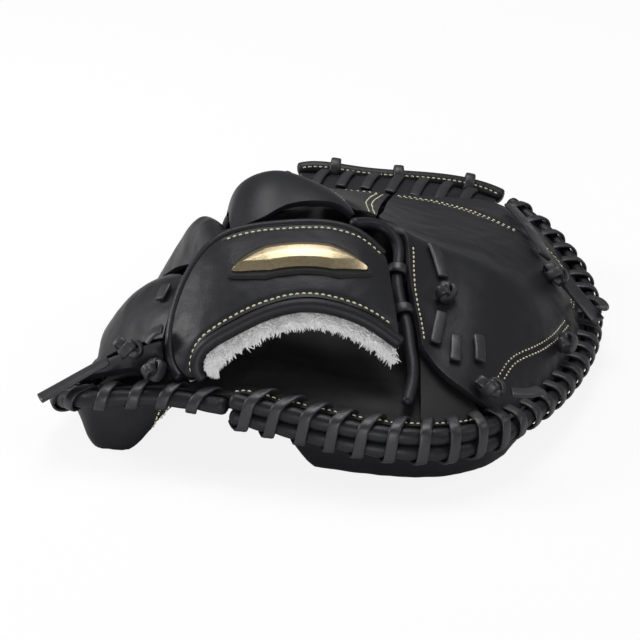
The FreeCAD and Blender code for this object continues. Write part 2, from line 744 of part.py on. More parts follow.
def new_sketch(body, name):
    sketch = body.newObject("Sketcher::SketchObject", name)
    sketch.AttachmentSupport = [(plane_of(body, "XY_Plane"), "")]
    sketch.MapMode = "FlatFace"
    return sketch


def rounded_slot(sketch, width, height):
    """A slot about the origin, with round ends. width and height are expressions on the sheet."""
    half, radius = 5.0, 2.0
    top, low = Vector(0, radius, 0), Vector(0, -radius, 0)
    right, left = Vector(half, 0, 0), Vector(-half, 0, 0)
    first = sketch.GeometryCount
    sketch.addGeometry(Part.LineSegment(left + top, right + top))
    sketch.addGeometry(Part.ArcOfCircle(Part.Circle(right, UP, radius), -math.pi / 2, math.pi / 2))
    sketch.addGeometry(Part.LineSegment(right + low, left + low))
    sketch.addGeometry(Part.ArcOfCircle(Part.Circle(left, UP, radius), math.pi / 2, 3 * math.pi / 2))
    upper, right_end, lower, left_end = range(first, first + 4)
    joined = ((upper, 2, right_end, 2), (right_end, 1, lower, 1), (lower, 2, left_end, 2), (left_end, 1, upper, 1))
    for a, a_end, b, b_end in joined:
        sketch.addConstraint(Sketcher.Constraint("Tangent", a, a_end, b, b_end))
    sketch.addConstraint(Sketcher.Constraint("Horizontal", upper))
    sketch.addConstraint(Sketcher.Constraint("Symmetric", right_end, 3, left_end, 3, -1, 1))
    across = sketch.addConstraint(Sketcher.Constraint("Radius", right_end, radius))
    long = sketch.addConstraint(Sketcher.Constraint("DistanceX", left_end, 3, right_end, 3, 2 * half))
    sketch.setExpression(f"Constraints[{across}]", f"({height}) / 2")
    sketch.setExpression(f"Constraints[{long}]", f"({width}) - ({height})")


def finger_loop(name, centre, yaw, tilt):
    """A band of leather that a finger goes through, standing on the lining."""
    body = doc.addObject("PartDesign::Body", name)
    body.Label = name
    sketch = new_sketch(body, f"{name}_outline")
    leather_wall = "2 * sizes.loop_leather"
    rounded_slot(sketch, f"sizes.loop_width + {leather_wall}", f"sizes.loop_height + {leather_wall}")
    rounded_slot(sketch, "sizes.loop_width", "sizes.loop_height")
    pad = body.newObject("PartDesign::Pad", f"{name}_band")
    pad.Profile = sketch
    pad.setExpression("Length", "sizes.loop_length")
    body.Placement = Placement(centre, Rotation(yaw, 0, 90) * Rotation(tilt, 0, 0))
    subparts.append(body)


def knot(name, centre, yaw, pitch=0):
    """An overhand knot, drawn up tight."""
    body = doc.addObject("PartDesign::Body", name)
    body.Label = name
    sketch = new_sketch(body, f"{name}_outline")
    rounded_slot(sketch, "sizes.knot_length", "sizes.knot_width")
    pad = body.newObject("PartDesign::Pad", f"{name}_height")
    pad.Profile = sketch
    pad.setExpression("Length", "sizes.knot_height")
    doc.recompute()
    fillet = body.newObject("PartDesign::Fillet", f"{name}_rounding")
    fillet.Base = (pad, ["Face5", "Face6"])
    fillet.setExpression("Radius", "min(sizes.knot_rounding; 0.45 * sizes.knot_height)")
    body.Placement = Placement(centre, Rotation(yaw, pitch, 0))
    subparts.append(body)


finger_loop("thumb_loop", at(70, -20, 47.5), 8, -14)
finger_loop("little_finger_loop", at(-74, -40, 51.5), 10, 16)

knot("thumb_bow_knot", on_skin(thumb_skin, [(3.7, 3.0)], 2 * KNOT_LIFT)[0], -70)
knot("side_knot", on_skin(thumb_skin, [(9.6, 9.8)], 2 * KNOT_LIFT)[0], -35)
knot("heel_knot", at(75, -103, 38), -15)
knot("thumb_rim_knot", at(118, -33, 27.5), 65)
knot("finger_tie_knot", at(-96, -86, 50), -20)
knot("little_rim_knot", at(-83, -97, 44), 60)


# ---------------------------------------------------------------- lace ends
def tail(points):
    return flat_lace(points, 9, "tail_width", "tail_thickness")


piece("thumb_bow_ends", Part.makeCompound([
    flat_lace(on_skin(thumb_skin, [(4.6, 2.7), (5.2, 2.3), (6.1, 1.8)], LACE_LIFT), 5),
    flat_lace(on_skin(thumb_skin, [(2.7, 2.8), (1.8, 2.4), (0.9, 2.0)], LACE_LIFT), 5),
]))
piece("thumb_cross_laces", Part.makeCompound([
    flat_lace(on_skin(thumb_skin, [(1.95, 4.4), (1.35, 4.6), (0.8, 4.8)], LACE_LIFT), 5),
    flat_lace(on_skin(thumb_skin, [(2.5, 6.4), (1.95, 6.8), (1.4, 7.2)], LACE_LIFT), 5),
]))
piece("side_lace", tail(on_skin(thumb_skin, [(15.3, 8.4), (13.9, 8.6), (12.2, 8.9), (10.6, 9.2)], TAIL_LIFT)))
piece("side_lace_end", tail(pattern([(120, 30, 40.5), (125, 24, 36), (131.5, 17, 30), (138, 8, 24.5)])))
piece("side_loop", flat_lace(pattern([(132, 31, 26), (139, 26, 28), (142, 18, 28), (140, 9, 30.5)]), 9))
piece("heel_knot_end", tail(pattern([(85, -107, 41), (92, -106, 40), (99, -102, 39.5)])))
piece("finger_lace_tail", tail(pattern([(-106, -86, 47), (-116, -88, 42), (-127, -91, 36.5), (-138, -95, 31.5)])))
piece("finger_tie_end", tail(pattern([(-88, -83, 56), (-84, -82, 60), (-80, -82, 62)])))
slit = on_skin(stall_skins["ring_stall"], [(1.6, 3.2), (1.6, 4.0), (1.6, 4.8)], LACE_LIFT)
piece("ring_slit_lace", flat_lace(slit, 5))


# ---------------------------------------------------------------- checks and files
os.makedirs("parts", exist_ok=True)
doc.recompute()
for subpart in doc.Objects:
    if "Invalid" in subpart.State or "Error" in subpart.State:
        raise RuntimeError(f"{subpart.Label} failed: {subpart.State}")
for subpart in subparts:
    if subpart.Shape.isNull() or not subpart.Shape.isValid():
        raise RuntimeError(f"{subpart.Label} has no valid shape")
for subpart in subparts:
    subpart.Shape.exportStep(f"parts/{subpart.Label}.step")
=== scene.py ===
import math

import bpy
import numpy as np
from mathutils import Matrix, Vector, noise


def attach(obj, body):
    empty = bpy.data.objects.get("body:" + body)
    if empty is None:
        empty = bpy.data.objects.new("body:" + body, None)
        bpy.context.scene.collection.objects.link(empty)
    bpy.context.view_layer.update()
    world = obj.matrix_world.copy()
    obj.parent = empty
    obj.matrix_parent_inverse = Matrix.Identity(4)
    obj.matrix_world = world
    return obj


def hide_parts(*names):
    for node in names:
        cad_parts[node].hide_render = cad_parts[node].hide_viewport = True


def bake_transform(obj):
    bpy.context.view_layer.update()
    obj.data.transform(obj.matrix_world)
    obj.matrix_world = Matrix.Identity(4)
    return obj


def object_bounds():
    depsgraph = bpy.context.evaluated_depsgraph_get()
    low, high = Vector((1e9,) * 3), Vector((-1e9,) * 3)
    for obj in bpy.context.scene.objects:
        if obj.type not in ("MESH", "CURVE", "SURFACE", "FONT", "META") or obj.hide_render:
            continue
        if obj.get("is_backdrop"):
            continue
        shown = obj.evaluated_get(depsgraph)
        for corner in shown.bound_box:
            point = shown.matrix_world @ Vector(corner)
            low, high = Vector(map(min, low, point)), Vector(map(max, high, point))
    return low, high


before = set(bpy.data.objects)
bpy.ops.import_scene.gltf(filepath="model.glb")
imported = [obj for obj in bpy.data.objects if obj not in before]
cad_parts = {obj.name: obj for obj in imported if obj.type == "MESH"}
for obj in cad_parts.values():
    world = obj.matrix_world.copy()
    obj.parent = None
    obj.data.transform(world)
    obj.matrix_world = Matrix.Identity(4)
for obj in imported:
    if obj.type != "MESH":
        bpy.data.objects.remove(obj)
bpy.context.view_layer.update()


# ---------------------------------------------------------------- palm face
# The palm face is one cut of steer hide for each half of the mitt, sewn together along the crease. It rolls down
# from the laced rim to two thick heel pads, which the mitt lies on, and up again into the pocket.
MM = 0.001
PATTERN_MIDDLE = np.array([2.8, 3.3, 0.0])
GAP = 0.3
UP = np.array([0.0, 0.0, 1.0])
RIM_INSET = 4.4
FACE_LEATHER = 3.2
RIM = np.array([
    (-48, -113, 36), (-18, -121, 32), (20, -131, 28), (50, -129, 25), (80, -110, 22), (106, -72, 18),
    (128, -18, 15), (138, 34, 15), (134, 82, 21), (118, 117, 30), (98, 137, 40), (50, 138, 51),
    (15, 136, 55), (-18, 135, 57), (-47, 118, 38), (-77, 85, 20), (-97, 42, 12), (-111, -4, 11),
    (-124, -50, 13), (-130, -77, 22), (-118, -93, 30), (-85, -99, 34), (-48, -113, 36),
], float)
CREASE = np.array([(-48, -113, 36), (-28, -62, 38), (-8, -10, 42), (14, 46, 45), (36.7, 104, 48)], float)
THUMB_WEB_EDGE = [(36.7, 104, 48), (66, 106, 44), (112, 112, 32)]
FINGER_WEB_EDGE = [(36.7, 104, 48), (6, 106, 49), (-42, 113, 38)]
PAD_REACH = 38.0
POCKET_RUN = 48.0


def unit(v):
    return v / np.maximum(np.linalg.norm(v, axis=-1, keepdims=True), 1e-9)


def smooth(t):
    t = np.clip(t, 0, 1)
    return t * t * (3 - 2 * t)


def run_of(line):
    """The distance along a line to each of its points."""
    return np.concatenate([[0], np.cumsum(np.linalg.norm(np.diff(line, axis=0), axis=1))])


def along(line, shares):
    """The points at shares of a line's length."""
    run = run_of(line)
    places = np.asarray(shares) * run[-1]
    return np.stack([np.interp(places, run, line[:, k]) for k in range(line.shape[1])], -1)


def curve(points, t, s):
    """The smooth curve that is at points where it has run t, as it is where it has run s."""
    n, step = len(points), np.diff(t)
    rows, right = np.eye(n), np.zeros_like(points)
    for i in range(1, n - 1):
        rows[i, i - 1 : i + 2] = step[i - 1], 2 * (step[i - 1] + step[i]), step[i]
        right[i] = 6 * ((points[i + 1] - points[i]) / step[i] - (points[i] - points[i - 1]) / step[i - 1])
    bend = np.linalg.solve(rows, right)
    k = np.clip(np.searchsorted(t, s, side="right") - 1, 0, n - 2)
    a, b, h = (t[k + 1] - s)[:, None], (s - t[k])[:, None], step[k][:, None]
    at = (bend[k] * a**3 + bend[k + 1] * b**3) / (6 * h)
    return at + (points[k] / h - bend[k] * h / 6) * a + (points[k + 1] / h - bend[k + 1] * h / 6) * b


def through(points, count):
    """count points, evenly spaced along the smooth curve through points."""
    p = np.array(points, float)
    run = run_of(p)
    return along(curve(p, run, np.linspace(0, run[-1], 40 * len(p))), np.linspace(0, 1, count))


def in_step(points, count):
    """count points on the smooth curve through points, as many between any two neighbours."""
    return curve(points, np.arange(len(points)) * 1.0, np.linspace(0, len(points) - 1, count))


def level_normals(line):
    """Level unit vectors across a line, towards the middle of the mitt."""
    ahead = np.gradient(line, axis=0)
    across = unit(np.stack([-ahead[:, 1], ahead[:, 0], 0 * ahead[:, 0]], 1))
    inward = np.sum(across * (np.array([5.0, 0, 0]) - line) * [1, 1, 0], 1) < 0
    return np.where(inward[:, None], -across, across)


class Skin:
    """The outer side of a piece of leather, as a fine grid of points. out is 1 if its middle faces up."""

    def __init__(self, points, out=1):
        self.points, self.out = np.array(points, float), out

    def normals(self):
        n = unit(np.cross(np.gradient(self.points, axis=0), np.gradient(self.points, axis=1)))
        rows, columns = n.shape[:2]
        return n * (self.out if n[rows // 2, columns // 2, 2] >= 0 else -self.out)

    def raised(self, height):
        """The skin moved along its normals, by one height or by one for each point."""
        height = np.broadcast_to(height, self.points.shape[:2])[..., None]
        return Skin(self.points + self.normals() * height, self.out)

    def at(self, spots, lift=0.0):
        """Points and normals at spots, which are shares of the grid's rows and columns."""
        spots = np.atleast_2d(np.asarray(spots, float))
        rows, columns = self.points.shape[:2]
        r, c = spots[:, 0] * (rows - 1), spots[:, 1] * (columns - 1)
        i, j = np.clip(r.astype(int), 0, rows - 2), np.clip(c.astype(int), 0, columns - 2)
        a, b = (r - i)[:, None], (c - j)[:, None]
        found = []
        for g in (self.points, self.normals()):
            near = g[i, j] * (1 - b) + g[i, j + 1] * b
            far = g[i + 1, j] * (1 - b) + g[i + 1, j + 1] * b
            found.append(near * (1 - a) + far * a)
        return found[0] + unit(found[1]) * lift, unit(found[1])

    def line(self, spots, count=160, lift=0.0):
        """A line drawn on the skin through spots."""
        if len(spots) == 2:
            return self.at(along(np.array(spots, float), np.linspace(0, 1, count)), lift)
        return self.at(through(spots, count), lift)

    def pressed(self, line, width, depth):
        """The skin with a groove along a line, or with a welt where the depth is negative."""
        flat = self.points.reshape(-1, 3)
        nearest = np.full(len(flat), 1e9)
        low, high = line.min(0) - 4 * width, line.max(0) + 4 * width
        close = np.flatnonzero(np.all((flat > low) & (flat < high), axis=1))
        for start in range(0, len(close), 4000):
            part = close[start : start + 4000]
            away = np.linalg.norm(flat[part][:, None] - line[None], axis=2)
            nearest[part] = away.min(1)
        return self.raised((-depth * np.exp(-((nearest / width) ** 2))).reshape(self.points.shape[:2]))

    def worn(self, height, span, seed=0.0):
        """The skin with the soft uneven swell of hand-worked hide."""
        flat = self.points.reshape(-1, 3) / span + seed
        swell = np.array([noise.noise(Vector(p)) for p in flat])
        return self.raised((swell * height).reshape(self.points.shape[:2]))


class Value:
    """A socket of a material, so that sums on it can be written out."""

    def __init__(self, finish, socket):
        self.finish, self.socket = finish, socket

    def sum(self, operation, a, b):
        return self.finish.node("ShaderNodeMath", {"operation": operation}, {0: a, 1: b}, 0)

    def __add__(self, other):
        return self.sum("ADD", self, other)

    def __sub__(self, other):
        return self.sum("SUBTRACT", self, other)

    def __rsub__(self, other):
        return self.sum("SUBTRACT", other, self)

    def __mul__(self, other):
        return self.sum("MULTIPLY", self, other)

    __radd__, __rmul__ = __add__, __mul__


class Finish:
    """A material and its nodes."""

    def __init__(self, name):
        self.material = bpy.data.materials.new(name)
        self.material.use_nodes = True
        self.tree = self.material.node_tree
        self.shader = self.tree.nodes["Principled BSDF"]

    def node(self, kind, settings, inputs, output):
        made = self.tree.nodes.new(kind)
        for key, setting in settings.items():
            setattr(made, key, setting)
        for key, value in inputs.items():
            self.set(made.inputs[key], value)
        return Value(self, made.outputs[output])

    def set(self, socket, value):
        if isinstance(value, Value):
            self.tree.links.new(value.socket, socket)
        else:
            socket.default_value = value

    def shows(self, **sockets):
        for name, value in sockets.items():
            self.set(self.shader.inputs[name.replace("_", " ")], value)
        return self.material

    def place(self):
        return self.node("ShaderNodeTexCoord", {}, {}, "Object")

    def cloudy(self, place, scale, detail=3.0):
        values = {"Vector": place, "Scale": scale, "Detail": detail, "Roughness": 0.55}
        return self.node("ShaderNodeTexNoise", {}, values, "Fac")

    def mixed(self, factor, a, b):
        colours = {"Factor": factor, 6: (*a, 1), 7: (*b, 1)}
        return self.node("ShaderNodeMix", {"data_type": "RGBA"}, colours, 2)

    def bump(self, height, distance, strength=1.0):
        values = {"Height": height, "Distance": distance, "Strength": strength}
        return self.node("ShaderNodeBump", {}, values, "Normal")


def hide_finish(name, colour, pale, rough, grain):
    """Dyed hide: pores in the grain, fine creases, and shine where hands have rubbed it."""
    f = Finish(name)
    place = f.place()
    pores = f.node("ShaderNodeTexVoronoi", {"feature": "F1"}, {"Vector": place, "Scale": 900.0}, "Distance")
    creases = f.cloudy(place, 420.0, 5.0)
    rubbed = f.cloudy(place, 26.0, 4.0)
    broad = f.cloudy(place, 9.0, 2.0)
    height = pores * 0.35 + creases * 0.5 + rubbed * 0.5
    tone = rubbed * 0.6 + broad * 0.6 + pores * 0.25 - 0.35
    return f.shows(
        Base_Color=f.mixed(tone, colour, pale),
        Roughness=rough + (0.5 - rubbed) * 0.22 + pores * 0.05,
        Normal=f.bump(height, grain * MM, 0.6),
        Specular_IOR_Level=0.26,
    )


HIDE = hide_finish("black_steerhide", (0.0062, 0.0064, 0.0082), (0.0125, 0.0128, 0.0158), 0.44, 0.2)


def make(name, points, faces, material):
    """A mesh piece from points in the pattern's millimetres."""
    mesh = bpy.data.meshes.new(name)
    points = (np.asarray(points, float) - PATTERN_MIDDLE) * MM
    faces = [list(map(int, face)) for face in faces]
    mesh.from_pydata(points.tolist(), [], faces)
    mesh.validate()
    mesh.materials.append(material)
    mesh.shade_smooth()
    piece = bpy.data.objects.new(name, mesh)
    bpy.context.scene.collection.objects.link(piece)
    return piece


def carried(piece, slot, carrier, *nodes, fill=None):
    """The piece, with what it is made of, which is not used, what carries it and which nodes it stands for,
    which are hidden. The carrier is a half of the mitt, which it is attached to, or two unused points."""
    if nodes:
        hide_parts(*nodes)
    if isinstance(carrier, str):
        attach(piece, carrier)
    else:
        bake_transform(piece)
    return piece


def settled(piece):
    """The piece with its modifiers made part of its mesh."""
    bpy.context.view_layer.update()
    shaped = bpy.data.meshes.new_from_object(piece.evaluated_get(bpy.context.evaluated_depsgraph_get()))
    piece.modifiers.clear()
    piece.data = shaped
    piece.data.shade_smooth()
    piece.data.set_sharp_from_angle(angle=math.radians(50))
    return piece


def hide_panel(name, skin, thickness, material, edge=0.9):
    """A closed piece of leather under its outer skin, with its cut edges rounded over."""
    rows, columns = skin.points.shape[:2]
    k = np.arange(rows * columns).reshape(rows, columns)
    faces = np.stack([k[:-1, :-1], k[1:, :-1], k[1:, 1:], k[:-1, 1:]], -1).reshape(-1, 4)
    a, b, c = (skin.points.reshape(-1, 3)[faces[:, n]] for n in (0, 1, 3))
    facing = np.sum(np.cross(b - a, c - a) * skin.normals()[:-1, :-1].reshape(-1, 3), 1)
    if facing.sum() < 0:
        faces = faces[:, ::-1]
    piece = make(name, skin.points.reshape(-1, 3), faces, material)
    layer = piece.modifiers.new("layer", "SOLIDIFY")
    layer.thickness, layer.offset = thickness * MM, -1
    if edge:
        cut = piece.modifiers.new("cut edge", "BEVEL")
        cut.width, cut.segments, cut.limit_method = edge * MM, 3, "ANGLE"
        cut.angle_limit = math.radians(50)
    return settled(piece)


def split(line, corner):
    """A line in two, at its point nearest to a corner."""
    k = int(np.argmin(np.linalg.norm(line - corner, axis=1)))
    return line[: k + 1], line[k:]


thumb_line = through(RIM[:11], 500)
finger_line = through(RIM[13:], 500)
thumb_heel, thumb_side = split(thumb_line, RIM[4])
finger_side, finger_heel = split(finger_line, RIM[20])
thumb_rim = split(thumb_side, RIM[9])[0]
finger_rim = split(finger_side, RIM[14])[1]


class PalmHalf:
    """Half of the palm, laid out from the heel to the web (u) and from the crease to the rim (v)."""

    def __init__(self, heel, rim, web, pad_fall, pad_start, pad_run):
        self.pad_fall, self.pad_start, self.pad_run = pad_fall, pad_start, pad_run
        crease = CREASE.copy()
        crease[0] += unit(crease[1] - crease[0]) * RIM_INSET
        self.crease = through(crease, 60)
        outline = np.vstack([along(heel, np.linspace(0, 1, 60)), along(rim, np.linspace(0, 1, 120))[1:]])
        outline = outline + level_normals(outline) * RIM_INSET
        self.heel = np.vstack([self.crease[:1], outline[6:60]])
        self.rim = outline[59:]
        self.web = np.vstack([self.crease[-1:], through(web, 60)[3:-3], self.rim[-1:]])
        self.deep, self.wide = run_of(self.crease)[-1], run_of(self.heel)[-1]

    def sheet(self, u, v):
        heel, web = along(self.heel, v)[None], along(self.web, v)[None]
        crease, rim = along(self.crease, u)[:, None], along(self.rim, u)[:, None]
        u, v = u[:, None, None], v[None, :, None]
        corners = self.heel[0] * ((1 - u) * (1 - v)) + self.heel[-1] * ((1 - u) * v)
        corners = corners + self.web[0] * (u * (1 - v)) + self.web[-1] * (u * v)
        return heel * (1 - u) + web * u + crease * (1 - v) + rim * v - corners

    def from_rim(self, u, v):
        to_heel = np.maximum(u[:, None] * self.deep, 0.01)
        to_rim = np.maximum((1 - v[None]) * self.wide, 0.01)
        return (to_heel**-3 + to_rim**-3) ** (-1 / 3)

    def face(self, u, v):
        grid = self.sheet(u, v) - UP * (FACE_LEATHER + GAP / 2)
        away = self.from_rim(u, v)
        pad = smooth(away / self.pad_fall) * (1 - smooth((away - PAD_REACH) / POCKET_RUN))
        pad = pad * smooth((v[None] * self.wide - self.pad_start) / self.pad_run)
        pad = pad * (1 - smooth((u[:, None] - 0.62) / 0.32))
        grid[..., 2] = grid[..., 2] * (1 - pad) - 1.2 * pad
        return grid

    def inside(self, u, v):
        rise = 2 * GAP + 5.0 * (1 - 0.8 * smooth((u - 0.7) / 0.3))
        return self.sheet(u, v) + UP * (GAP / 2 + rise[:, None] * smooth(self.from_rim(u, v) / 34))[..., None]


thumb_half = PalmHalf(thumb_heel, thumb_rim, THUMB_WEB_EDGE, 15.0, 8.0, 28.0)
finger_half = PalmHalf(finger_heel[::-1], finger_rim[::-1], FINGER_WEB_EDGE, 9.0, 22.0, 34.0)


def both_halves(shape, u, v):
    """One grid over both halves: from the finger rim over the crease to the thumb rim."""
    return np.concatenate([shape(finger_half, u, v)[:, :0:-1], shape(thumb_half, u, v)], axis=1)


palm_u = np.concatenate([np.linspace(0, 0.14, 36), np.linspace(0.14, 1, 100)[1:]])
palm_v = np.concatenate([np.linspace(0, 0.74, 50), np.linspace(0.74, 1, 44)[1:]])
palm_skin = Skin(both_halves(PalmHalf.face, palm_u, palm_v), out=-1)
palm_skin = palm_skin.worn(0.9, 21.0).worn(0.35, 7.0, 4.0)
palm_skin.points[..., 2] = np.maximum(palm_skin.points[..., 2], 0.02)
palm = hide_panel("palm_leather", palm_skin, FACE_LEATHER, HIDE, 0)
palm.data.validate()
CREASE_BEND = ((0.014, -0.022, 0.035), (-0.026, -0.006, 0.035))
carried(palm, "black_leather", CREASE_BEND, "palm_leather_thumb", "palm_leather_fingers", fill=0.8)


# ---------------------------------------------------------------- felt in the palm
# Layers of pressed wool felt lie between the palm face and the lining, one stack in each half. They are cut to
# the hand's outline and held by the lacing alone.
def felt_finish(name, colour, pale):
    f = Finish(name)
    place = f.place()
    fibres = f.cloudy(place, 900.0, 6.0)
    tufts = f.cloudy(place, 130.0, 4.0)
    return f.shows(
        Base_Color=f.mixed(fibres * 0.6 + tufts * 0.5, colour, pale),
        Roughness=0.95,
        Normal=f.bump(fibres + tufts, 0.0005, 0.8),
    )


def dressed(node, material):
    """Gives a node of the frame its finish."""
    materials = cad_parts[node].data.materials
    materials.clear()
    materials.append(material)


WOOL_FELT = felt_finish("pressed_wool_felt", (0.48, 0.44, 0.37), (0.72, 0.68, 0.60))
dressed("palm_felt_thumb", WOOL_FELT)
dressed("palm_felt_fingers", WOOL_FELT)


# ---------------------------------------------------------------- rim laces, their places
# One rawhide lace ties the palm face to the backs, turn by turn, through punched holes all round the rim. Over
# the heel it goes round two rolls and leans, at the sides it stands nearly square.
TURNS = {"thumb": (thumb_line, 29, 0.025, 0.965), "fingers": (finger_line, 22, 0.04, 0.955)}
HEEL_SHARE = run_of(thumb_heel)[-1] / run_of(thumb_line)[-1]
ROLL_DROP = 3.95


def heel_part(share):
    """1 where the heel has two rolls, one above the other, and 0 where the rim has one."""
    return 1 - smooth((np.asarray(share) - HEEL_SHARE + 0.02) / 0.07)


def turn_shares(side):
    line, count, first, last = TURNS[side]
    return np.linspace(first, last, count)


def across_rim(line, shares):
    """Points of a rim, with unit vectors along it, out of it and up."""
    shares = np.asarray(shares, float)
    ahead = along(line, np.clip(shares + 0.006, 0, 1)) - along(line, np.clip(shares - 0.006, 0, 1))
    ahead = unit(ahead * [1, 1, 0])
    centre = along(line, shares)
    out = np.cross(ahead, UP)
    outward = np.sum(out * (centre - [5.0, 0, 0]), 1) > 0
    return centre, ahead, np.where(outward[:, None], out, -out)


def holes(side, inset, rise, first=0.0, last=1.0):
    """Where the lace goes into the leather, a distance inside the rim and above it."""
    shares = turn_shares(side)
    shares = shares[(shares >= first) & (shares <= last)]
    centre, ahead, out = across_rim(TURNS[side][0], shares)
    return centre - out * inset + UP * rise


# ---------------------------------------------------------------- lining
# Soft glove hide lies against the hand. At the heel it is turned up over the second roll, sewn along it, and
# punched for the lace.
LINING_HIDE = hide_finish("glove_hide_lining", (0.0055, 0.0055, 0.0062), (0.012, 0.012, 0.0132), 0.62, 0.16)
lining_u = np.concatenate([np.linspace(0, 0.2, 46), np.linspace(0.2, 0.96, 60)[1:]])
lining_v = np.linspace(0, 0.94, 84)
lining_points = both_halves(PalmHalf.inside, lining_u, lining_v) + UP * 2.0
signed = np.concatenate([-lining_v[:0:-1], lining_v])
heel_away = lining_u * thumb_half.deep
collar = 1 - smooth(heel_away[:, None] / 17)
lining_points[..., 2] += collar * (1.6 + 3.6 * smooth((signed[None] + 0.02) / 0.08))
lining_skin = Skin(lining_points).worn(1.1, 26.0, 7.0).worn(0.3, 6.0, 3.0)
heel_holes = holes("thumb", 9.8, 5.2, 0, HEEL_SHARE)
lining_skin = lining_skin.pressed(heel_holes, 2.4, 1.8)
lining = hide_panel("palm_lining", lining_skin, 2.0, LINING_HIDE, 0.6)
carried(lining, "lining_leather", CREASE_BEND, "palm_lining_thumb", "palm_lining_fingers")


# ---------------------------------------------------------------- rolled rim
# The rim is a roll of the same hide, stuffed with cord and squeezed between the turns of the lace. The heel has
# a second roll above the first, and the web has one along its crown.
round_turn = np.linspace(0, 2 * np.pi, 20)[:-1]
ROUND = np.stack([np.cos(round_turn), np.sin(round_turn)], 1)


def joined(parts):
    """Several meshes' points and faces as one."""
    points, faces, start = [], [], 0
    for part_points, part_faces in parts:
        points.append(part_points)
        faces += [[start + k for k in face] for face in part_faces]
        start += len(part_points)
    return np.vstack(points), faces


def swept(path, section, facing=None, size=1.0, end=0.0):
    """Points and faces of a section carried along a path, its ends rounded over a length. facing says which
    way the section's second axis looks."""
    path, section = np.asarray(path, float), np.asarray(section, float)
    ahead = unit(np.gradient(path, axis=0))
    if facing is None:
        normal = [unit(UP - ahead[0] * ahead[0, 2] + 1e-4)]
        for t in ahead[1:]:
            normal.append(unit(normal[-1] - t * np.dot(normal[-1], t)))
        normal = np.array(normal)
    else:
        normal = np.broadcast_to(facing, path.shape)
    normal = unit(normal - ahead * np.sum(normal * ahead, 1, keepdims=True))
    side = np.cross(ahead, normal)
    size = np.broadcast_to(np.reshape(size, (-1, 1)) if np.ndim(size) == 1 else size, (len(path), 2))
    rows = [(path[k], normal[k], side[k], size[k]) for k in range(len(path))]
    for turn in np.radians([28, 55, 78]):
        first, last = rows[0][1:], rows[-1][1:]
        reach, shrink = end * math.sin(turn), math.cos(turn)
        rows.insert(0, (path[0] - ahead[0] * reach, first[0], first[1], size[0] * shrink))
        rows.append((path[-1] + ahead[-1] * reach, last[0], last[1], size[-1] * shrink))
    rings = [p + s * (section[:, :1] * w[0]) + n * (section[:, 1:] * w[1]) for p, n, s, w in rows]
    m, count = len(section), len(rows)
    k = np.arange(m)
    faces = []
    for r in range(count - 1):
        a, b = r * m + k, r * m + (k + 1) % m
        faces += np.stack([a, b, b + m, a + m], 1).tolist()
    faces += [list(range(m))[::-1], list(range((count - 1) * m, count * m))]
    return np.vstack(rings), faces


def piece_of(name, parts, material):
    """One piece from several meshes."""
    points, faces = joined(parts)
    piece = make(name, points, faces, material)
    piece.data.set_sharp_from_angle(angle=math.radians(50))
    return piece


def squeezed(shares, turns, radius, bite=0.35):
    """A roll's radius, taken in under each turn of the lace."""
    near = np.abs(shares[:, None] - turns[None]).min(1)
    gap = (turns[-1] - turns[0]) / (len(turns) - 1)
    return radius - bite + bite * 1.7 * np.sin(np.clip(near / gap, 0, 0.5) * np.pi) ** 0.8


ROLL_RADIUS = 3.8
for name, body, side, first, last, count, lift in (
    ("rim_roll_thumb", "thumb_side", "thumb", 0.008, 0.985, 420, lambda s: -ROLL_DROP * heel_part(s)),
    ("rim_roll_fingers", "finger_side", "fingers", 0.015, 0.992, 420, np.zeros_like),
    ("heel_roll", "thumb_side", "thumb", 0.008, HEEL_SHARE, 150, lambda s: np.full(len(s), ROLL_DROP)),
):
    shares = np.linspace(first, last, count)
    path = along(TURNS[side][0], shares) + UP * lift(shares)[:, None]
    roll_size = squeezed(shares, turn_shares(side), ROLL_RADIUS)
    roll = piece_of(name + "_hide", [swept(path, ROUND, UP, roll_size, ROLL_RADIUS * 0.7)], HIDE)
    carried(roll, "black_leather", body, name)


# ---------------------------------------------------------------- rim laces
# The lace itself: rawhide about 5.5 mm wide, waxed, pulled tight, with soft edges and a slight twist in each turn.
def lace_section(width, thickness):
    """A flat lace's section, with soft corners."""
    turn = np.linspace(0, 2 * np.pi, 15)[:-1]
    c, s = np.cos(turn), np.sin(turn)
    across, through_it = np.sign(c) * np.abs(c) ** 0.45, np.sign(s) * np.abs(s) ** 0.7
    return np.stack([across * width / 2, through_it * thickness / 2], 1)


def rawhide_finish(name, colour, pale):
    """Waxed lace: fibres along it, rubbed shiny on its high places."""
    f = Finish(name)
    place = f.place()
    fibre = f.cloudy(place, 700.0, 5.0)
    patch = f.cloudy(place, 90.0, 4.0)
    return f.shows(
        Base_Color=f.mixed(patch * 0.7 + fibre * 0.4, colour, pale),
        Roughness=0.44 + (0.5 - patch) * 0.3,
        Normal=f.bump(fibre * 0.6 + patch, 0.0003, 0.7),
    )


RAWHIDE = rawhide_finish("waxed_rawhide_lace", (0.0072, 0.0074, 0.0092), (0.017, 0.0173, 0.0205))
LACE = lace_section(5.4, 1.7)
TURN_OUTLINE = np.array([
    (-9.6, 2.6), (-8.4, 4.6), (-5.8, 5.6), (-2.4, 5.6), (1.9, 4.8), (4.2, 2.8), (5.0, 0), (4.2, -2.8),
    (1.9, -4.8), (-1.8, -5.5), (-4.8, -5.4), (-7.2, -4.4),
])


def lace_piece(name, node, body, parts):
    """A piece of lace on one half of the mitt, in place of a node."""
    return carried(piece_of(name, parts, RAWHIDE), "rawhide_lace", body, node)


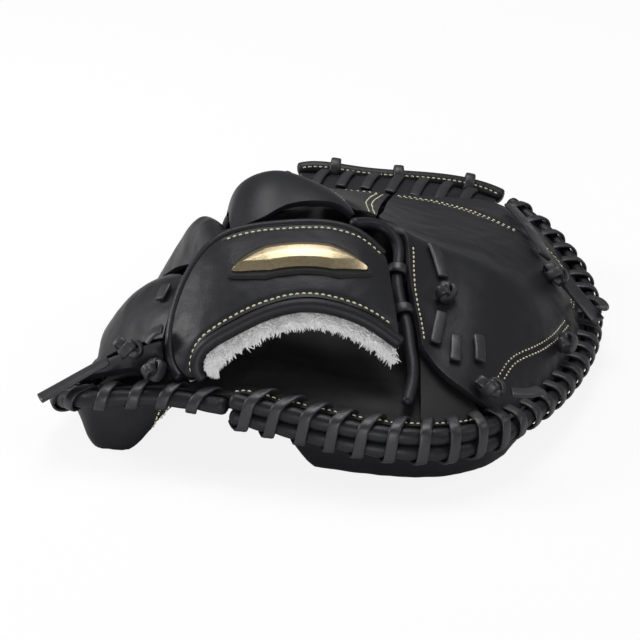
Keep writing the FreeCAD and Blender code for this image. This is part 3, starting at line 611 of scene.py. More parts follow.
def rim_turn(line, share, lean, wobble):
    """One turn of lace round the rim. lean is how far its upper hole is ahead of its lower one."""
    centre, ahead, out = (v[0] for v in across_rim(line, [share]))
    double = heel_part(share) if line is thumb_line else 0
    outline = through(TURN_OUTLINE, 30)
    rise = np.sign(outline[:, 1]) * double * ROLL_DROP * smooth(np.abs(outline[:, 1]) / 3.0)
    sway = np.linspace(lean / 2, -lean / 2, 30) + wobble * np.sin(np.linspace(0, 3, 30))
    path = centre + out * outline[:, :1] + UP * (outline[:, 1:] + rise[:, None]) + ahead * sway[:, None]
    roll_height = np.clip(outline[:, 1:] + rise[:, None], -ROLL_DROP * double, ROLL_DROP * double)
    middle = centre + ahead * sway[:, None] + UP * roll_height
    return swept(path, LACE, path - middle + out * 2.0 * (outline[:, :1] < 0), 1.0, 0.6)


sway_of = np.random.default_rng(7)
for side, body in (("thumb", "thumb_side"), ("fingers", "finger_side")):
    line = TURNS[side][0]
    turns = []
    for share in turn_shares(side):
        if side == "thumb":
            lean = 5.0 + 16.0 * heel_part(share) * (1 - share / HEEL_SHARE)
        else:
            lean = 5.0 + 7.0 * smooth((share - 0.7) / 0.2)
        lean = float(lean) + sway_of.uniform(-1.5, 1.5)
        turns.append(rim_turn(line, share, lean, sway_of.uniform(-0.8, 0.8)))
    lace_piece("rim_lace_turns_" + side, "rim_laces_" + side, body, turns)


# ---------------------------------------------------------------- stitching thread
# Waxed cream thread, in double rows along the panels' seams. Each stitch lies in the groove that it pulls.
def thread_finish(name, colour, pale):
    f = Finish(name)
    strand = f.cloudy(f.place(), 2600.0, 3.0)
    return f.shows(
        Base_Color=f.mixed(strand, colour, pale), Roughness=0.6, Normal=f.bump(strand, 0.0002, 0.8)
    )


THREAD = thread_finish("waxed_cream_thread", (0.50, 0.47, 0.30), (0.74, 0.71, 0.52))


def stitches(line, normals, pitch=3.0, length=2.1, thick=0.42):
    """Points and faces of the stitches along a line."""
    count = int(run_of(line)[-1] / pitch)
    if count < 1:
        return np.zeros((0, 3)), []
    shares = (np.arange(count) + 0.5) / count
    centre, up = along(line, shares), unit(along(np.hstack([line, normals]), shares)[:, 3:])
    ahead = unit(along(line, np.minimum(shares + 0.002, 1)) - along(line, np.maximum(shares - 0.002, 0)))
    side = np.cross(ahead, up)
    x = np.array([-1, -0.8, -0.35, 0.35, 0.8, 1]) * length / 2
    girth = np.array([0.3, 0.8, 1, 1, 0.8, 0.3]) * thick
    sink = np.array([-0.45, -0.12, 0.1, 0.1, -0.12, -0.45])
    turn = np.linspace(0, 2 * np.pi, 8)[:-1]
    points = centre[:, None, None] + ahead[:, None, None] * x[None, :, None, None]
    points = points + side[:, None, None] * (girth[:, None] * np.cos(turn))[None, ..., None]
    points = points + up[:, None, None] * (girth[:, None] * np.sin(turn) + sink[:, None])[None, ..., None]
    k, faces = np.arange(7), []
    for r in range(5):
        after = (k + 1) % 7
        faces.append(np.stack([r * 7 + k, r * 7 + after, (r + 1) * 7 + after, (r + 1) * 7 + k], 1))
    one = np.vstack(faces)
    every = (one[None] + (np.arange(count) * 42)[:, None, None]).reshape(-1, 4)
    return points.reshape(-1, 3), every.tolist()


def sewn(name, rows, carrier):
    """A piece made of all the stitches of some rows, each a line and its normals."""
    return carried(piece_of(name, [stitches(*row) for row in rows], THREAD), None, carrier)


def double_row(skin, spots, apart=3.2, count=220):
    """Two rows of stitching along a seam, one on each side of it."""
    line, normals = skin.line(spots, count)
    side = unit(np.cross(np.gradient(line, axis=0), normals)) * apart / 2
    return [(line + side, normals), (line - side, normals)]


palm_seams = [
    [(0.02, 0.46), (0.10, 0.50), (0.2, 0.56), (0.3, 0.66), (0.38, 0.8), (0.42, 0.93)],
    [(0.02, 0.34), (0.10, 0.30), (0.2, 0.25), (0.3, 0.18), (0.4, 0.1), (0.46, 0.04)],
]
sewn("palm_stitching", [row for seam in palm_seams for row in double_row(palm_skin, seam)], CREASE_BEND)
heel_edge_spots = [(0.03, v) for v in (0.5, 0.62, 0.75, 0.88, 0.98)]
sewn("heel_edge_stitching", [lining_skin.line(heel_edge_spots, 260)], CREASE_BEND)


# ---------------------------------------------------------------- back of the thumb
# One large panel of the same hide, padded, covers the thumb. Its seams are sewn double, round the edge that the
# lace holds, and a smaller panel of glove hide closes the side of the hand opening.
BACK_LEATHER = 3.4


def rim_seat(line, shares):
    """Where the outer skin of a back panel meets the rim."""
    centre, ahead, out = across_rim(line, np.atleast_1d(shares))
    return centre - out * RIM_INSET + UP * (GAP / 2 + BACK_LEATHER)


def lofted(edge_a, edge_b, rows, columns, crown=0.0, lean=1.0):
    """A grid from one edge to the other, bulging up by crown, or by crown(share along the edges)."""
    a, b = through(edge_a, rows)[:, None], through(edge_b, rows)[:, None]
    t = np.linspace(0, 1, columns)[None, :, None]
    grid = a * (1 - t) + b * t
    rise = crown(np.linspace(0, 1, rows)[:, None]) if callable(crown) else crown
    grid[..., 2] += rise * np.sin(np.pi * t[..., 0] ** lean)
    return grid


def pushed(grid, towards, fade=2):
    """The grid with its last row bulging out. A higher fade keeps the bulge nearer to that row."""
    rows, columns = grid.shape[:2]
    swell = np.linspace(0, 1, rows)[:, None] ** fade * np.sin(np.pi * np.linspace(0, 1, columns))[None]
    return grid + swell[..., None] * np.array(towards, float)


THUMB_EDGE = [
    (44, -84, 55), (42.7, -68, 61), (39.7, -52, 68), (38.7, -38, 75), (38.7, -26, 80), (36, -12, 85),
    (27, 0, 84.5), (27, 22, 79), (30, 58, 69), (36, 98, 58.5),
]
thumb_rim_edge = rim_seat(thumb_line, HEEL_SHARE + 0.01 + (0.9 - HEEL_SHARE) * np.arange(12) / 11)
thumb_grid = lofted(THUMB_EDGE, thumb_rim_edge, 190, 120, lambda s: 7 + 9 * np.sin(np.pi * s), 1.6)
thumb_grid = pushed(thumb_grid, (2, 5, 0))
thumb_grid = pushed(thumb_grid[::-1], (-3, -9, -3), 4)[::-1]
thumb_seams = [
    [(0.97, 0.02), (0.95, 0.22), (0.88, 0.42), (0.825, 0.55), (0.8, 0.67)],
    [(0.82, 0.77), (0.82, 0.86), (0.79, 0.92), (0.74, 0.945), (0.68, 0.95), (0.62, 0.95)],
    [(0.5, 0.935), (0.365, 0.905), (0.245, 0.85), (0.16, 0.8), (0.09, 0.8)],
]
THUMB_SKIN = Skin(thumb_grid).worn(0.9, 30.0, 2.0).worn(0.25, 8.0, 5.0)
for seam in thumb_seams:
    THUMB_SKIN = THUMB_SKIN.pressed(THUMB_SKIN.line(seam)[0], 2.4, 0.7)
THUMB_SKIN = THUMB_SKIN.pressed(holes("thumb", 9.6, 6.0, HEEL_SHARE, 1), 3.0, 1.3)
thumb_panel = hide_panel("thumb_panel", THUMB_SKIN, BACK_LEATHER, HIDE, 1.1)
carried(thumb_panel, "black_leather", "thumb_side", "thumb_back_panel", fill=0.7)
thumb_rows = [row for seam in thumb_seams for row in double_row(THUMB_SKIN, seam)]
thumb_rows.append(THUMB_SKIN.line([(0.03, 0.035), (0.12, 0.03), (0.22, 0.03), (0.34, 0.03)]))
sewn("thumb_stitching", thumb_rows, "thumb_side")

SIDE_LOW = [(42, -120, 33), (52, -120, 31.5), (64, -116.5, 29.5), (73, -109, 27.5)]
SIDE_TUCK = 5.8
side_high = THUMB_SKIN.at([(0.044, v) for v in (0.067, 0.167, 0.283, 0.383)], -SIDE_TUCK)[0]
side_skin = Skin(lofted(SIDE_LOW, side_high, 60, 40, 1.0)).worn(0.4, 14.0)
side_panel = hide_panel("heel_side", side_skin, 2.0, LINING_HIDE, 0.6)
carried(side_panel, "black_leather", "thumb_side", "heel_side_panel")


# ---------------------------------------------------------------- backs of the fingers
# The index finger has a hood with a half-moon hole, and beside it a narrow panel sewn to the thumb's. The other
# fingers have a stall each, cut and sewn so that every finger bulges on its own.
SEAM_BEND = ((0.024, 0.02, 0.08), (-0.022, 0.038, 0.08))


def finger_piece(name, node, skin, carrier=SEAM_BEND):
    return carried(hide_panel(name, skin, BACK_LEATHER, HIDE, 1.0), "black_leather", carrier, node, fill=0.7)


INDEX_HOLE = [
    (-49, -26, 89), (-41, -26, 92.5), (-32, -23, 95.5), (-24, -16, 97.5), (-14, -10, 98), (-2, -8, 97),
    (7, -7, 93.5), (12, -8, 90),
]
HOOD_SEAM = [
    (-53, 24, 76), (-49, 34, 84), (-39, 41, 89.5), (-26, 43, 91.5), (-12, 36, 91), (1, 24, 90), (10, 4, 89),
]
hood_grid = lofted(INDEX_HOLE, HOOD_SEAM, 110, 80, lambda s: 1 + (1 - s) * (5 + 9 * np.sin(np.pi * s**0.7)))
HOOD_SKIN = Skin(hood_grid).worn(0.5, 20.0, 9.0)
hood_seam = [(0.2, 0.93), (0.5, 0.93), (0.8, 0.92), (0.95, 0.9)]
HOOD_SKIN = HOOD_SKIN.pressed(HOOD_SKIN.line(hood_seam)[0], 2.2, 0.5)
finger_piece("index_finger_hood", "index_hood", HOOD_SKIN)

INDEX_EDGE = [(13, 8, 86), (-1, 29, 86), (-9, 46, 82), (-8, 75, 72), (-4, 101, 60)]
SHORT_SEAM = [(23.5, 5, 84), (24.5, 22, 79), (27.5, 58, 69), (33, 97, 58.5)]
index_skin = Skin(lofted(INDEX_EDGE, SHORT_SEAM, 100, 40, 1.0)).worn(0.5, 16.0, 1.0)
index_seams = [
    [(0.06, 0.84), (0.35, 0.84), (0.7, 0.85), (0.96, 0.88)],
    [(0.93, 0.06), (0.94, 0.45), (0.95, 0.86)],
]
for seam in index_seams:
    index_skin = index_skin.pressed(index_skin.line(seam)[0], 2.2, 0.6)
finger_piece("index_back", "index_back_panel", index_skin)
index_rows = [row for seam in index_seams for row in double_row(index_skin, seam)]
sewn("index_stitching", index_rows + double_row(HOOD_SKIN, hood_seam), SEAM_BEND)

# Each stall has its lower and upper edge, each with the share along the rim where it ends, if it does. Its crown
# and swell lift its middle, and its push bulges its last row.
STALLS = (
    ("index_stall", [(-52, 33, 76), (-57, 57, 57)], 0.17,
     [(-13, 51, 80), (-12, 75, 71), (-9, 101, 59.5)], None, 8.0, 0.0, (-9, 14, 0)),
    ("middle_stall", [(-62, -41, 77.5), (-72, -18, 67), (-84, 6, 51), (-93, 22, 35), (-97, 29, 24)], 0.49,
     [(-50, -22, 86), (-54, 4, 79), (-58, 28, 68), (-63, 54, 51), (-69, 70, 36)], 0.20,
     6.5, 10.0, (-1, 0, 1)),
    ("ring_stall", [(-80.5, -74, 53.5), (-93, -64.5, 46), (-108, -54, 35), (-116, -44, 25)], 0.79,
     [(-69, -43, 71.5), (-77, -22, 64), (-89, 1, 48), (-99, 15, 33), (-102.5, 21, 23)], 0.52,
     4.0, 8.0, (-6, 0, 0)),
    ("little_stall", [(-79, -91, 46.5), (-92, -89, 45), (-106, -85, 41), (-118, -77, 34)], 0.93,
     [(-81.5, -75.5, 52.5), (-94, -67, 44.5), (-109, -59, 33), (-118.5, -52.5, 23.5)], 0.83,
     3.0, 0.0, (-1, 0, 1.5)),
)


def stall_seat(share):
    """Where a stall's edge meets the rim."""
    return tuple(rim_seat(finger_line, 0.10 + 0.62 * share)[0])


stall_skins = {}
for name, low_edge, low_share, high_edge, high_share, crown, swell, push in STALLS:
    low = low_edge + [stall_seat(low_share)]
    high = high_edge + ([] if high_share is None else [stall_seat(high_share)])
    grid = lofted(high, low, 110, 70, lambda s: (crown + swell * np.sin(np.pi * s)) * (1 - 0.7 * s**2))
    grid = pushed(grid, push)
    skin = Skin(grid).worn(0.8, 20.0, crown).worn(0.25, 7.0, crown)
    stall_skins[name] = skin.pressed(holes("fingers", 9.4, 5.5), 3.0, 1.2)
    carrier = SEAM_BEND if name == "index_stall" else "finger_side"
    finger_piece(name + "_hide", name, stall_skins[name], carrier)

# A strip of glove hide closes the gap between the hood's far edge and the index stall.
hood_low = stall_skins["index_stall"].at([(0.02, v) for v in (0.98, 0.75, 0.5, 0.25, 0.02)], -1.6)[0]
hood_low = np.vstack([hood_low, np.array(INDEX_EDGE[2::-1]) - (0, 0, 1.6)])
hood_welt_skin = Skin(lofted(np.array(HOOD_SEAM) - (0, 0, 2.0), hood_low, 90, 16))
carried(hide_panel("hood_welt", hood_welt_skin, 1.4, LINING_HIDE, 0.4), "lining_leather", SEAM_BEND)


# ---------------------------------------------------------------- web
# A closed web of two layers, laced to the thumb and the index finger, with a roll of hide along its crown. Flat
# laces slant over its back, and three loops of lace bind the crown.
WEB_BACK_NEAR = [(-13, 106, 59), (17, 105, 57), (40, 104, 54), (66, 106, 49), (92, 114, 40)]
WEB_BACK_FAR = [(-16, 130.5, 58), (15, 131.5, 56), (50, 133, 52), (75, 133, 47), (93, 131, 42)]
WEB_FACE_NEAR = [(-13, 112, 46), (10, 111, 46), (37, 109, 44), (66, 111, 40), (96, 117, 33)]
WEB_FACE_FAR = [(-16, 130, 52), (15, 131, 50), (50, 133, 46), (75, 133, 41), (95, 131, 35)]
web_back_skin = Skin(lofted(WEB_BACK_NEAR, WEB_BACK_FAR, 120, 36, 1.5)).worn(0.4, 12.0)
web_face_skin = Skin(lofted(WEB_FACE_NEAR, WEB_FACE_FAR, 120, 30, -1.0), -1).worn(0.4, 12.0)
for node, skin in (("web_back", web_back_skin), ("web_face", web_face_skin)):
    carried(hide_panel(node + "_hide", skin, 3.0, HIDE, 0.8), "black_leather", "thumb_side", node)

# A strip of glove hide under the web's face closes the slot between it and the palm.
web_strip_near = [(-40, 107, 42), (-19, 103, 47), (10, 101, 48), (37, 99, 47), (66, 102, 43), (92, 106, 36)]
web_strip_far = np.vstack([[-36, 117, 46], np.array(WEB_FACE_NEAR) + (0, 5, 1.6)])
web_strip_skin = Skin(lofted(web_strip_near, web_strip_far, 90, 14))
web_strip = hide_panel("web_lining_strip", web_strip_skin, 1.4, LINING_HIDE, 0.4)
carried(web_strip, "lining_leather", "thumb_side")

CROWN_RADIUS = 4.4
crown_rim = split(split(through(RIM, 900), RIM[10])[1], RIM[13])[0]
crown_line = through(crown_rim[::6], 200)
crown_path = along(crown_line, np.linspace(0.02, 0.98, 160))
crown = piece_of("web_crown_roll", [swept(crown_path, ROUND, UP, np.full(160, CROWN_RADIUS), 2.0)], HIDE)
carried(crown, "black_leather", "thumb_side", "web_crown")
crown_face = unit(0.8 * level_normals(crown_path) + 0.6 * UP)
sewn("crown_stitching", [(crown_path + CROWN_RADIUS * crown_face, crown_face)], "thumb_side")


NARROW_LACE = lace_section(5.6, 2.0)


def flat_lace(line, normals, section=NARROW_LACE):
    """A flat lace laid along a line."""
    return swept(line, section, normals, 1.0, 0.5)


web_turns = []
for row in 0.05 + 0.125 * np.arange(7):
    spots = [(row, 0.02), (row + 0.04, 0.5), (row + 0.08, 0.98)]
    web_turns.append(flat_lace(*web_back_skin.line(spots, 24, 1.6)))
lace_piece("web_lace_turns", "web_laces", "thumb_side", web_turns)


def ring_of(line, share, reach):
    """A turn of lace all round a roll."""
    centre = along(line, [share])[0]
    ahead = unit(along(line, [share + 0.02])[0] - along(line, [share - 0.02])[0])
    out = unit(np.cross(ahead, UP))
    above = np.cross(out, ahead)
    turn = np.linspace(-0.5 * np.pi, 1.44 * np.pi, 34)[:, None]
    radial = out * np.cos(turn) + above * np.sin(turn)
    path = centre + radial * reach + ahead * np.linspace(-1.2, 1.2, 34)[:, None]
    return flat_lace(path, radial)


crown_turns = [ring_of(crown_line, share, 6.2) for share in (0.18, 0.52, 0.82)]
lace_piece("crown_lace_loops", "crown_loops", "thumb_side", crown_turns)


# ---------------------------------------------------------------- binding of the hand opening
# A round binding of hide is sewn over the raw edge on the thumb side of the hand opening.
THUMB_BINDING = [
    (12, -20, 90), (25, -14, 86), (32, -18, 81), (34, -27, 75), (33, -38, 70), (34, -52, 63), (37, -68, 56),
    (38, -80, 51), (39, -92, 46), (38, -102, 41), (36, -110, 37.5),
]
thumb_tube = swept(through(THUMB_BINDING, 150), ROUND, None, np.full(150, 3.0), 2.4)
carried(piece_of("thumb_side_binding", [thumb_tube], HIDE), "black_leather", "thumb_side", "thumb_binding")


# ---------------------------------------------------------------- wrist strap
# A wide stiff strap arches over the back of the hand. Its lower edge is a padded roll, its upper edge and finger
# side are bound, and both edges are sewn with one row of thread. The ribs run from its finger end to its thumb
# end, each from the upper edge to the lower one.
STRAP_RIBS = np.array([
    ((-74, -96, 44.5), (-57, -100.5, 44.5)), ((-78.5, -87, 49), (-60.5, -100.5, 48.5)),
    ((-78.5, -71, 60), (-60, -99, 55)), ((-72, -53, 75.5), (-54, -97.5, 60.5)),
    ((-58, -37.5, 90), (-43, -95, 66)), ((-40, -30, 94.5), (-29, -92, 72)),
    ((-22, -29.5, 96.5), (-12, -90, 75)), ((-3, -29, 96.5), (4, -90, 72.5)),
    ((14, -31.5, 92.5), (19, -91.5, 66.5)), ((26, -38.5, 84.5), (33, -94, 57)),
])
STRAP_LEATHER = 4.2
STRAP_BEND = ((-0.046, -0.062, 0.08), (-0.064, -0.055, 0.06))


def strap_grid(first, last, rows, columns):
    """The strap's outer skin between two lines along it, each a share of the width and a distance from it."""
    upper, lower = in_step(STRAP_RIBS[:, 0], rows), in_step(STRAP_RIBS[:, 1], rows)
    width = np.linalg.norm(lower - upper, axis=1)[:, None]
    start, end = (share + distance / width for share, distance in (first, last))
    t = (start + (end - start) * np.linspace(0, 1, columns))[..., None]
    crown = 5.0 * smooth(np.linspace(0, 1, rows) / 0.5)[:, None, None]
    return upper[:, None] * (1 - t) + lower[:, None] * t + UP * crown * np.sin(np.pi * t)


STRAP_SKIN = Skin(strap_grid((0, 6.3), (1, -7.4), 190, 90)).worn(0.7, 24.0, 6.0).worn(0.2, 6.0, 2.0)
strap_rows = [[(s, 0.04) for s in (0.48, 0.6, 0.75, 0.98)], [(s, 0.96) for s in (0.05, 0.3, 0.5, 0.7, 0.97)]]
for row in strap_rows:
    STRAP_SKIN = STRAP_SKIN.pressed(STRAP_SKIN.line(row)[0], 1.6, 0.5)
strap = hide_panel("strap_hide", STRAP_SKIN, STRAP_LEATHER, HIDE, 1.2)
carried(strap, "black_leather", STRAP_BEND, "wrist_strap", fill=0.6)
sewn("strap_stitching", [STRAP_SKIN.line(row) for row in strap_rows], STRAP_BEND)
for name, node, share, distance, radius, first, last in (
    ("strap_upper_binding", "strap_binding", 0, 2.4, 2.4, 0.532, 1),
    ("finger_side_binding", "finger_binding", 0, 2.4, 2.4, 0, 0.53),
    ("strap_lower_roll", "strap_roll", 1, -3.4, 3.4, 0, 1),
):
    strip = Skin(strap_grid((share, distance - 2), (share, distance + 2), 190, 5))
    path = along(strip.raised(radius - STRAP_LEATHER).points[:, 2], np.linspace(first, last, 150))
    roll = piece_of(name, [swept(path, ROUND, None, np.full(150, radius), 0.4 * radius)], HIDE)
    carried(roll, "black_leather", STRAP_BEND, node)


# ---------------------------------------------------------------- fleece
# White wool pile on a knitted backing lines the strap and hangs a little below it, against the wrist.
def fleece_finish(name, colour, pale):
    f = Finish(name)
    place = f.place()
    curls = f.cloudy(place, 260.0, 5.0)
    locks = f.cloudy(place, 60.0, 3.0)
    return f.shows(
        Base_Color=f.mixed(curls * 0.7 + locks * 0.4, colour, pale),
        Roughness=0.9,
        Normal=f.bump(curls + locks, 0.0012, 0.7),
    )


FLEECE = fleece_finish("white_wool_fleece", (0.80, 0.80, 0.80), (0.96, 0.96, 0.955))
fleece_outer = Skin(strap_grid((0, 6.3), (1, 3.6), 190, 90)).raised(-(STRAP_LEATHER + GAP))
fleece_outer = fleece_outer.worn(0.8, 7.0, 2.0)
FLEECE_DEPTH = 3.6
fleece = hide_panel("fleece_lining", fleece_outer, FLEECE_DEPTH, FLEECE, 1.6)
carried(fleece, "wool_fleece", STRAP_BEND, "strap_fleece", fill=0.5)


def tufts(skin, spots, lengths, slant, girth=0.42, seed=3):
    """Points and faces of tapering curved tufts on a skin at spots, each of four rings of three points."""
    rng = np.random.default_rng(seed)
    root, normal = skin.at(spots, 0.0)
    n = len(root)
    lean = unit(normal * 0.7 + slant + rng.normal(0, 0.28, (n, 3)))
    curl = unit(lean + rng.normal(0, 0.45, (n, 3)) + slant * 0.4)
    across = unit(np.cross(lean, rng.normal(0, 1, (n, 3))))
    beside = np.cross(lean, across)
    points, corner = [], np.radians([90, 210, 330])
    for step, girth_here in ((-0.15, 1.0), (0.35, 0.85), (0.72, 0.5), (1.0, 0.06)):
        spine = root + (lean * (step * (1 - 0.35 * step)) + curl * (0.35 * step * step)) * lengths[:, None]
        for a in corner:
            points.append(spine + (across * math.cos(a) + beside * math.sin(a)) * girth * girth_here)
    points = np.stack(points, 1)
    around = [(a, k, (k + 1) % 3) for a in (0, 3, 6) for k in range(3)]
    one = [[a + k, a + after, a + 3 + after, a + 3 + k] for a, k, after in around]
    every = (np.array(one)[None] + (np.arange(n) * 12)[:, None, None]).reshape(-1, 4)
    return points.reshape(-1, 3), every.tolist()


pile = np.random.default_rng(11)
low_spots = np.stack([pile.uniform(0.005, 0.995, 5200), 1 - np.abs(pile.normal(0, 0.07, 5200))], 1)
low_spots[:, 1] = np.clip(low_spots[:, 1], 0.62, 1.0)
fleece_down = np.array([0.0, -0.35, -0.75])
tuft_meshes = [tufts(fleece_outer, low_spots, pile.uniform(2.0, 4.6, 5200), fleece_down)]
under = Skin(fleece_outer.raised(-FLEECE_DEPTH).points, -1)
under_spots = np.stack([pile.uniform(0.005, 0.995, 3600), 1 - np.abs(pile.normal(0, 0.2, 3600))], 1)
under_spots[:, 1] = np.clip(under_spots[:, 1], 0.3, 1)
tuft_meshes.append(tufts(under, under_spots, pile.uniform(2.0, 4.2, 3600), fleece_down * 0.6, seed=5))
carried(piece_of("fleece_tufts", tuft_meshes, FLEECE), "wool_fleece", STRAP_BEND)


# ---------------------------------------------------------------- badge
# A plain pale-gold plate with bevelled faces, on a patch of black felt that shows round it. Both are glued and
# pinned to the strap.
BADGE_FELT = felt_finish("black_badge_felt", (0.006, 0.006, 0.0065), (0.016, 0.016, 0.017))


def badge_finish(name):
    """Polished plate with a fine brushed grain along it."""
    f = Finish(name)
    brush = f.cloudy(f.place(), 600.0, 3.0)
    return f.shows(
        Base_Color=f.mixed(brush, (0.34, 0.27, 0.16), (0.52, 0.44, 0.29)),
        Metallic=1.0, Roughness=0.26 + brush * 0.14, Normal=f.bump(brush, 0.00004, 0.6),
    )


BADGE_GOLD = badge_finish("pale_gold_plate")
BADGE_REACH, BADGE_SEAT = 49.0, 0.53


def plate(name, length, height, low, high, point, bevel, ridge, material):
    """A plate that follows the strap: pointed at both ends, bevelled all round, a ridge along its middle."""
    fine = strap_grid((BADGE_SEAT, -14), (BADGE_SEAT, 14), 260, 29)[::-1]
    reach = BADGE_REACH + length * np.linspace(0.5, -0.5, 140)
    seat = Skin(np.stack([along(fine[:, j], reach / run_of(fine[:, j])[-1]) for j in range(29)], 1))
    x, y = np.linspace(-1, 1, 140), np.linspace(-1, 1, 36)
    outline = np.clip((1 - np.abs(x)) / point, 0, 1) ** 0.62
    spots = np.stack(np.broadcast_arrays(
        0.5 + 0.5 * x[:, None], 0.5 + (height / 56) * y[None] * np.maximum(outline, 0.02)[:, None]
    ), -1)
    points, normals = seat.at(spots.reshape(-1, 2), 0.0)
    edge = (1 - np.abs(y))[None] * np.maximum(outline, 0.02)[:, None] * height / 2
    rise = np.minimum(edge / bevel, 1) * (high - low) * 0.75 + ridge * np.clip(edge / (height / 2), 0, 1)
    top = points + normals * (low + (high - low) * 0.25 + rise.reshape(-1)[:, None])
    bottom = points + normals * low
    k = np.arange(140 * 36).reshape(140, 36)
    faces = np.stack([k[:-1, :-1], k[1:, :-1], k[1:, 1:], k[:-1, 1:]], -1).reshape(-1, 4)
    rim = np.concatenate([k[:, 0], k[-1, 1:], k[::-1, -1][1:], k[0, ::-1][1:-1]])
    after = np.roll(rim, -1)
    wall = np.stack([rim, after, after + k.size, rim + k.size], 1)
    every = faces.tolist() + (faces[:, ::-1] + k.size).tolist() + wall[:, ::-1].tolist()
    piece = make(name, np.vstack([top, bottom]), every, material)
    piece.data.set_sharp_from_angle(angle=math.radians(20))
    return piece


felt = plate("badge_felt_patch", 72, 22, 0.3, 1.8, 0.5, 1.0, 0.0, BADGE_FELT)
carried(felt, "badge_felt", "thumb_side", "badge_felt")
badge = plate("badge_gold_plate", 66, 16, 2.1, 4.4, 0.55, 4.0, 0.9, BADGE_GOLD)
carried(badge, "badge_metal", "thumb_side", "badge_plate")


# ---------------------------------------------------------------- laces that tie the strap
# Two turns of lace hold the end of the strap to the thumb's binding, through holes in the panel beside it.
binding_line = through(THUMB_BINDING, 300)
tie_turns = [ring_of(binding_line, share, 4.5) for share in (0.36, 0.56)]
lace_piece("strap_lace_ties", "strap_laces", "thumb_side", tie_turns)


# ---------------------------------------------------------------- knots and lace ends
# Where a lace ends it is knotted twice, drawn tight, and cut off flat. Rawhide is stiff, so the ends stand off
# as they were left.
KNOT_LENGTH, KNOT_WIDTH, KNOT_HEIGHT = 15.0, 10.0, 8.0
KNOT_LACE = (5.2, 2.2)
WIDE_LACE = lace_section(8.5, 2.2)


def knotted(centre, long, up=UP):
    """A lace drawn into an overhand knot that lies along the vector long."""
    long = unit(np.array(long, float))
    up = unit(up - long * np.dot(long, up))
    wide = np.cross(up, long)
    t = np.linspace(0.15, 2 * np.pi - 0.15, 90)
    a, b, c = np.sin(t) + 2 * np.sin(2 * t), np.cos(t) - 2 * np.cos(2 * t), -np.sin(3 * t)
    half = [(size - KNOT_LACE[0] * 0.5) / 2 for size in (KNOT_LENGTH, KNOT_WIDTH)] + [(KNOT_HEIGHT - 2.4) / 2]
    path = np.array(centre) + (
        long * (a / 2.8 * half[0])[:, None] + wide * (b / 3.0 * half[1])[:, None] + up * (c * half[2])[:, None]
    )
    return swept(path, lace_section(*KNOT_LACE), path - np.array(centre) + up * 1.5, 1.0, 0.5)


def spot(row, column, lift):
    """A point over the thumb panel and the way up there, at a row and column of its pattern."""
    point, normal = THUMB_SKIN.at([(row / 16, column / 12)], lift)
    return point[0], normal[0]


bow, bow_up = spot(3.7, 3.0, 4.0)
side, side_up = spot(9.6, 9.8, 4.5)
for name, node, body, centre, long, up in (
    ("bow_knot", "thumb_bow_knot", "thumb_side", bow, (0.35, 0.9, -0.2), bow_up),
    ("thumb_side_knot", "side_knot", "thumb_side", side, (0.8, -0.55, -0.2), side_up),
    ("heel_lace_knot", "heel_knot", "thumb_side", (75, -103, 42), (0.96, -0.26, 0), UP),
    ("thumb_rim_lace_knot", "thumb_rim_knot", "thumb_side", (118, -33, 31.5), (0.42, 0.9, 0), UP),
    ("finger_lace_knot", "finger_tie_knot", "finger_side", (-96, -86, 54), (0.94, -0.34, 0), UP),
    ("little_finger_knot", "little_rim_knot", "finger_side", (-83, -97, 48), (0.5, 0.87, 0), UP),
):
    lace_piece(name, node, body, [knotted(centre, long, up)])


def on_thumb(spots, lift=1.9, section=NARROW_LACE):
    """A flat lace laid on the thumb panel through spots of its pattern."""
    line, normals = THUMB_SKIN.line([(row / 16, column / 12) for row, column in spots], 40, lift)
    return flat_lace(line, normals, section)


bow_ends = [on_thumb([(4.6, 2.7), (5.2, 2.3), (6.1, 1.8)]), on_thumb([(2.7, 2.8), (1.8, 2.4), (0.9, 2.0)])]
lace_piece("bow_lace_ends", "thumb_bow_ends", "thumb_side", bow_ends)
crossed = [on_thumb([(1.95, 4.4), (1.35, 4.6), (0.8, 4.8)]), on_thumb([(2.5, 6.4), (1.95, 6.8), (1.4, 7.2)])]
lace_piece("crossed_laces", "thumb_cross_laces", "thumb_side", crossed)
long_lace = on_thumb([(15.3, 8.4), (13.9, 8.6), (12.2, 8.9), (10.6, 9.2)], 3.2, WIDE_LACE)
lace_piece("long_side_lace", "side_lace", "thumb_side", [long_lace])
for name, node, body, section, points in (
    ("side_knot_end", "side_lace_end", "thumb_side", WIDE_LACE,
     [(120, 30, 40.5), (125, 24, 36), (131.5, 17, 30), (138, 8, 24.5)]),
    ("side_lace_loop", "side_loop", "thumb_side", NARROW_LACE,
     [(132, 31, 26), (139, 26, 28), (142, 18, 28), (140, 9, 30.5)]),
    ("heel_knot_tail", "heel_knot_end", "thumb_side", WIDE_LACE,
     [(85, -107, 41), (92, -106, 40), (99, -102, 39.5)]),
    ("finger_lace_end", "finger_lace_tail", "finger_side", WIDE_LACE,
     [(-106, -86, 47), (-116, -88, 42), (-127, -91, 36.5), (-138, -95, 31.5)]),
    ("finger_knot_end", "finger_tie_end", "finger_side", WIDE_LACE,
     [(-88, -83, 56), (-84, -82, 60), (-80, -82, 62)]),
):
    lace_piece(name, node, body, [flat_lace(through(points, 40), UP, section)])
ring_lace = stall_skins["ring_stall"].line([(0.133, 0.4), (0.133, 0.5), (0.133, 0.6)], 30, 1.9)
lace_piece("ring_slit_lace_end", "ring_slit_lace", "finger_side", [flat_lace(*ring_lace)])


# ---------------------------------------------------------------- finger loops
# Inside, a band of glove hide holds the thumb and another the little finger. They are sewn to the lining.
for loop in ("thumb_loop", "little_finger_loop"):
    dressed(loop, LINING_HIDE)


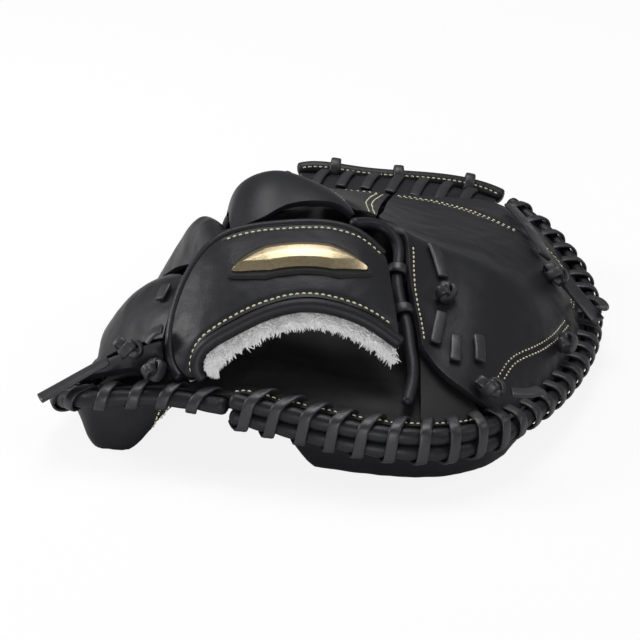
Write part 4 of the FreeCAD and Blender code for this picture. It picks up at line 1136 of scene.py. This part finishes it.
# ---------------------------------------------------------------- floor, light and camera
# A plain pale floor, and four soft lamps: one above and behind, one at each side and one in front.
floor_mesh = bpy.data.meshes.new("studio_floor")
floor_mesh.from_pydata([(-6, -6, 0), (6, -6, 0), (6, 6, 0), (-6, 6, 0)], [], [(0, 1, 2, 3)])
floor = bpy.data.objects.new("studio_floor", floor_mesh)
bpy.context.scene.collection.objects.link(floor)
floor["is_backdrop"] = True
paper = Finish("white_paper")
paper.shows(Base_Color=(0.8, 0.8, 0.8, 1), Roughness=0.9)
seen = paper.node("ShaderNodeLightPath", {}, {}, "Is Camera Ray")
glow = paper.node("ShaderNodeEmission", {}, {"Color": (1, 1, 1, 1), "Strength": 1.0}, "Emission")
mixed = paper.node(
    "ShaderNodeMixShader", {}, {0: seen * 0.86, 1: Value(paper, paper.shader.outputs[0]), 2: glow}, 0
)
paper.set(paper.tree.nodes["Material Output"].inputs["Surface"], mixed)
floor_mesh.materials.append(paper.material)

world = bpy.data.worlds.new("studio")
bpy.context.scene.world = world
world.use_nodes = True
air = Finish.__new__(Finish)
air.tree = world.node_tree
background = air.tree.nodes["Background"]
paths = air.node("ShaderNodeLightPath", {}, {}, "Is Camera Ray")
seen = paths.sum("MAXIMUM", paths, Value(air, paths.socket.node.outputs["Is Transmission Ray"]))
air.set(background.inputs["Color"], (1, 1, 1, 1))
air.set(background.inputs["Strength"], seen * 0.8 + 0.2)


def lamp(name, place, aim, size, power):
    light = bpy.data.lights.new(name, "AREA")
    light.shape, light.size, light.energy = "DISK", size, power
    holder = bpy.data.objects.new(name, light)
    holder.location = place
    holder.rotation_euler = (Vector(aim) - Vector(place)).to_track_quat("-Z", "Y").to_euler()
    bpy.context.scene.collection.objects.link(holder)


lamp("overhead_softbox", (0.0, 0.4, 1.3), (0, 0, 0.05), 0.8, 11.0)
lamp("left_softbox", (-1.2, 0.2, 0.7), (0, 0, 0.05), 0.5, 11.0)
lamp("right_softbox", (1.1, -0.3, 0.9), (0, 0, 0.05), 0.6, 4.0)
lamp("front_softbox", (-0.2, -1.3, 0.35), (0, 0, 0.06), 0.7, 7.0)

view = bpy.data.cameras.new("camera")
view.lens, view.sensor_width = 135.0, 36.0
view.clip_start = 0.01
camera = bpy.data.objects.new("camera", view)
target = (np.array([-5.0, -25.0, 40.0]) - PATTERN_MIDDLE) * MM
rise = math.radians(25)
camera.location = target + 1.2 * np.array([0, -math.cos(rise), math.sin(rise)])
camera.rotation_euler = (Vector(target) - camera.location).to_track_quat("-Z", "Y").to_euler()
bpy.context.scene.collection.objects.link(camera)
bpy.context.scene.camera = camera
bpy.context.scene.view_settings.view_transform = "Standard"

low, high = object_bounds()
